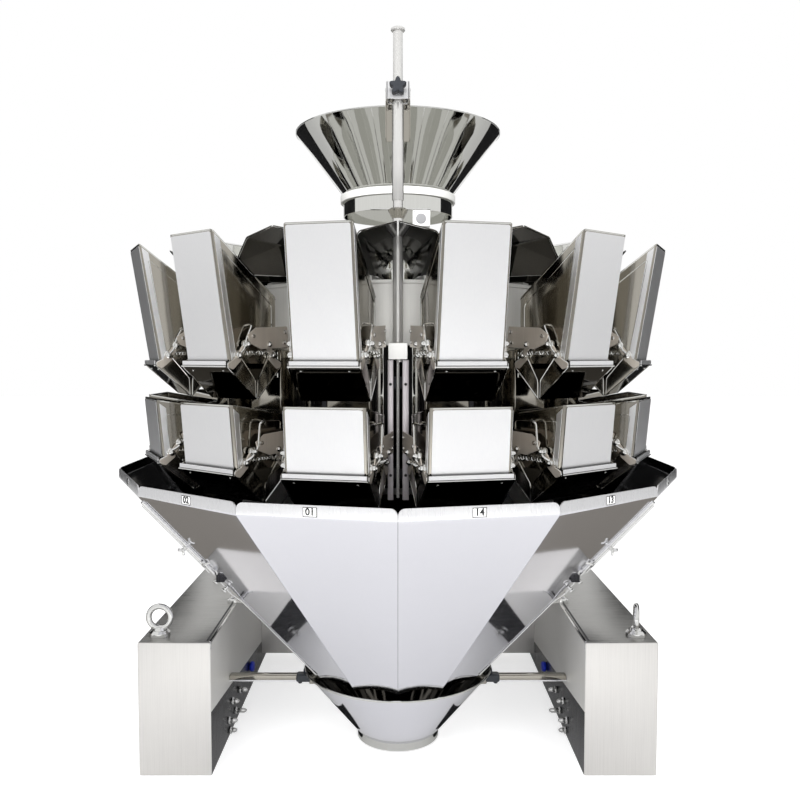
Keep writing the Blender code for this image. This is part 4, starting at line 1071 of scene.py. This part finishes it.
# The drive drum takes the housing steel painted dark as shade
for name, finish in (("rear_cross_box", "beam"), ("leg_frame", "beam"), ("drive_drum", "dark"),
                     ("feeder_drum", "blasted")):
    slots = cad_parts[name].data.materials
    slots.clear()
    slots.append(FINISH[finish])


# Camera, floor and light

FOCAL_PIXELS = 822.9
IMAGE_PIXELS = 800
TILT_DOWN = 3.03
camera = bpy.data.cameras.new("camera")
camera.sensor_width = 36
camera.lens = FOCAL_PIXELS / IMAGE_PIXELS * camera.sensor_width
camera.shift_x = 2.1 / IMAGE_PIXELS
eye = placed("camera", camera)
eye.location = (0, -1.784, 0.836)
eye.rotation_euler = (radians(90 - TILT_DOWN), 0, 0)
bpy.context.scene.camera = eye


def ray_kinds(tree):
    """Two outputs: whether a ray is the camera's own, and whether metal or glass sent it on."""
    path = add(tree, "ShaderNodeLightPath").outputs
    sent = add(tree, "ShaderNodeMath", {"operation": "MAXIMUM"},
               {0: path["Is Glossy Ray"], 1: path["Is Transmission Ray"]})
    return path["Is Camera Ray"], sent


def stage_paint(name, colour):
    """A plain matt material for the floor and the cards."""
    material, tree, shader = new_material(name)
    add(tree, shader, {"Base Color": linear(colour), "Roughness": 0.9})
    return material, tree, shader


def stage_sheet(name, low, high, material):
    """A flat or upright rectangle between two opposite corners."""
    low, high = Vector(low), Vector(high)
    reach = (high - low) / 2
    across = Vector((reach.x, reach.y if reach.z else 0, 0))
    rise = reach - across
    bm = bmesh.new()
    bmesh.ops.create_grid(bm, x_segments=1, y_segments=1, size=1.0)
    for vert in bm.verts:
        vert.co = low + reach + across * vert.co.x + rise * vert.co.y
    mesh = bpy.data.meshes.new(name)
    bm.to_mesh(mesh)
    bm.free()
    mesh.materials.append(material)
    item = placed(name, mesh)
    return item


def studio_card(name, low, high, material):
    """A card that only reflections show."""
    card = stage_sheet(name, low, high, material)
    card.visible_camera = False
    card.visible_diffuse = False
    card.visible_shadow = False


# Pale floor: it keeps the object's soft shadow, and reads as white away from it. In metal it glows less
paint, tree, shader = stage_paint("pale_floor", "#D2D2D2")
direct, mirrored = ray_kinds(tree)
faint = add(tree, "ShaderNodeMapRange", {"To Min": 0.0, "To Max": 0.06}, {"Value": mirrored})
seen = add(tree, "ShaderNodeMapRange", {"To Min": 0.0, "To Max": 0.6}, {"Value": direct})
glow = add(tree, "ShaderNodeMath", {"operation": "MAXIMUM"}, {0: faint, 1: seen})
add(tree, shader, {"Emission Color": (1, 1, 1, 1)}, {"Emission Strength": glow})
stage_sheet("floor", (-15, -15, -0.0005), (15, 15, -0.0005), paint)

# Dark studio cards behind the machine give the polished steel its black reflections
black = stage_paint("dark_card", "#101012")[0]
for index, (low, high) in enumerate((
        ((-3.4, 2.2, 0), (-1.5, 3.6, 2.6)), ((-0.9, 3.8, 0.9), (0.9, 3.8, 2)),
        ((1.5, 3.6, 0), (3.4, 2.2, 2.6)), ((-3.6, 0.6, 0), (-3.4, 2.2, 2.6)),
        ((3.6, 0.6, 0), (3.4, 2.2, 2.6)))):
    studio_card("dark_card_%d" % index, low, high, black)

# Grey cards on the floor outside the beams, for the side chutes to reflect, and black cards as a painted
# shadow on the floor under the machine, for the outlet's collar
grey = stage_paint("grey_floor_card", "#77736C")[0]
for index, low, high in ((0, -1.9, -0.56), (2, 0.56, 1.9)):
    studio_card("floor_card_%d" % index, (low, -0.12, 0.0005), (high, 0.95, 0.0005), grey)
for index, low, high in ((0, -0.17, -0.098), (2, 0.098, 0.17)):
    studio_card("floor_shade_%d" % index, (low, -0.03, 0.0008), (high, 0.2, 0.0008), black)

# White surroundings, a little dimmer as light than as a background
world = bpy.data.worlds.new("white_studio")
world.use_nodes = True
tree = world.node_tree
seen = add(tree, "ShaderNodeMath", {"operation": "MAXIMUM"}, dict(enumerate(ray_kinds(tree))))
level = add(tree, "ShaderNodeMapRange", {"To Min": 0.75, "To Max": 1.0}, {"Value": seen})
add(tree, tree.nodes["Background"], {"Color": (1, 1, 1, 1)}, {"Strength": level})
bpy.context.scene.world = world

# Lamps: place, size in metres, power in watts and the point each aims at. The last one lights the floor
# before the machine from above, for the chutes' front facets to reflect
MACHINE = (0, 0, 0.7)
for name, place, size, power, aim in (
        ("key", (-1.6, -2.8, 2.4), 1.6, 60, MACHINE), ("fill", (1.8, -2.6, 1.6), 1.6, 35, MACHINE),
        ("front", (0, -3.2, 1.1), 0.9, 45, MACHINE), ("top", (0, 0.2, 3.2), 2, 18, MACHINE),
        ("floor_wash", (0, -1.7, 1.9), 1.2, 12, (0, -1.3, 0))):
    lamp = bpy.data.lights.new(name, "AREA")
    lamp.size = size
    lamp.energy = power
    item = placed(name, lamp)
    item.visible_glossy = False
    item.visible_camera = False
    item.location = place
    item.rotation_euler = (Vector(aim) - Vector(place)).to_track_quat("-Z", "Y").to_euler()

bpy.context.scene.view_settings.view_transform = "Standard"
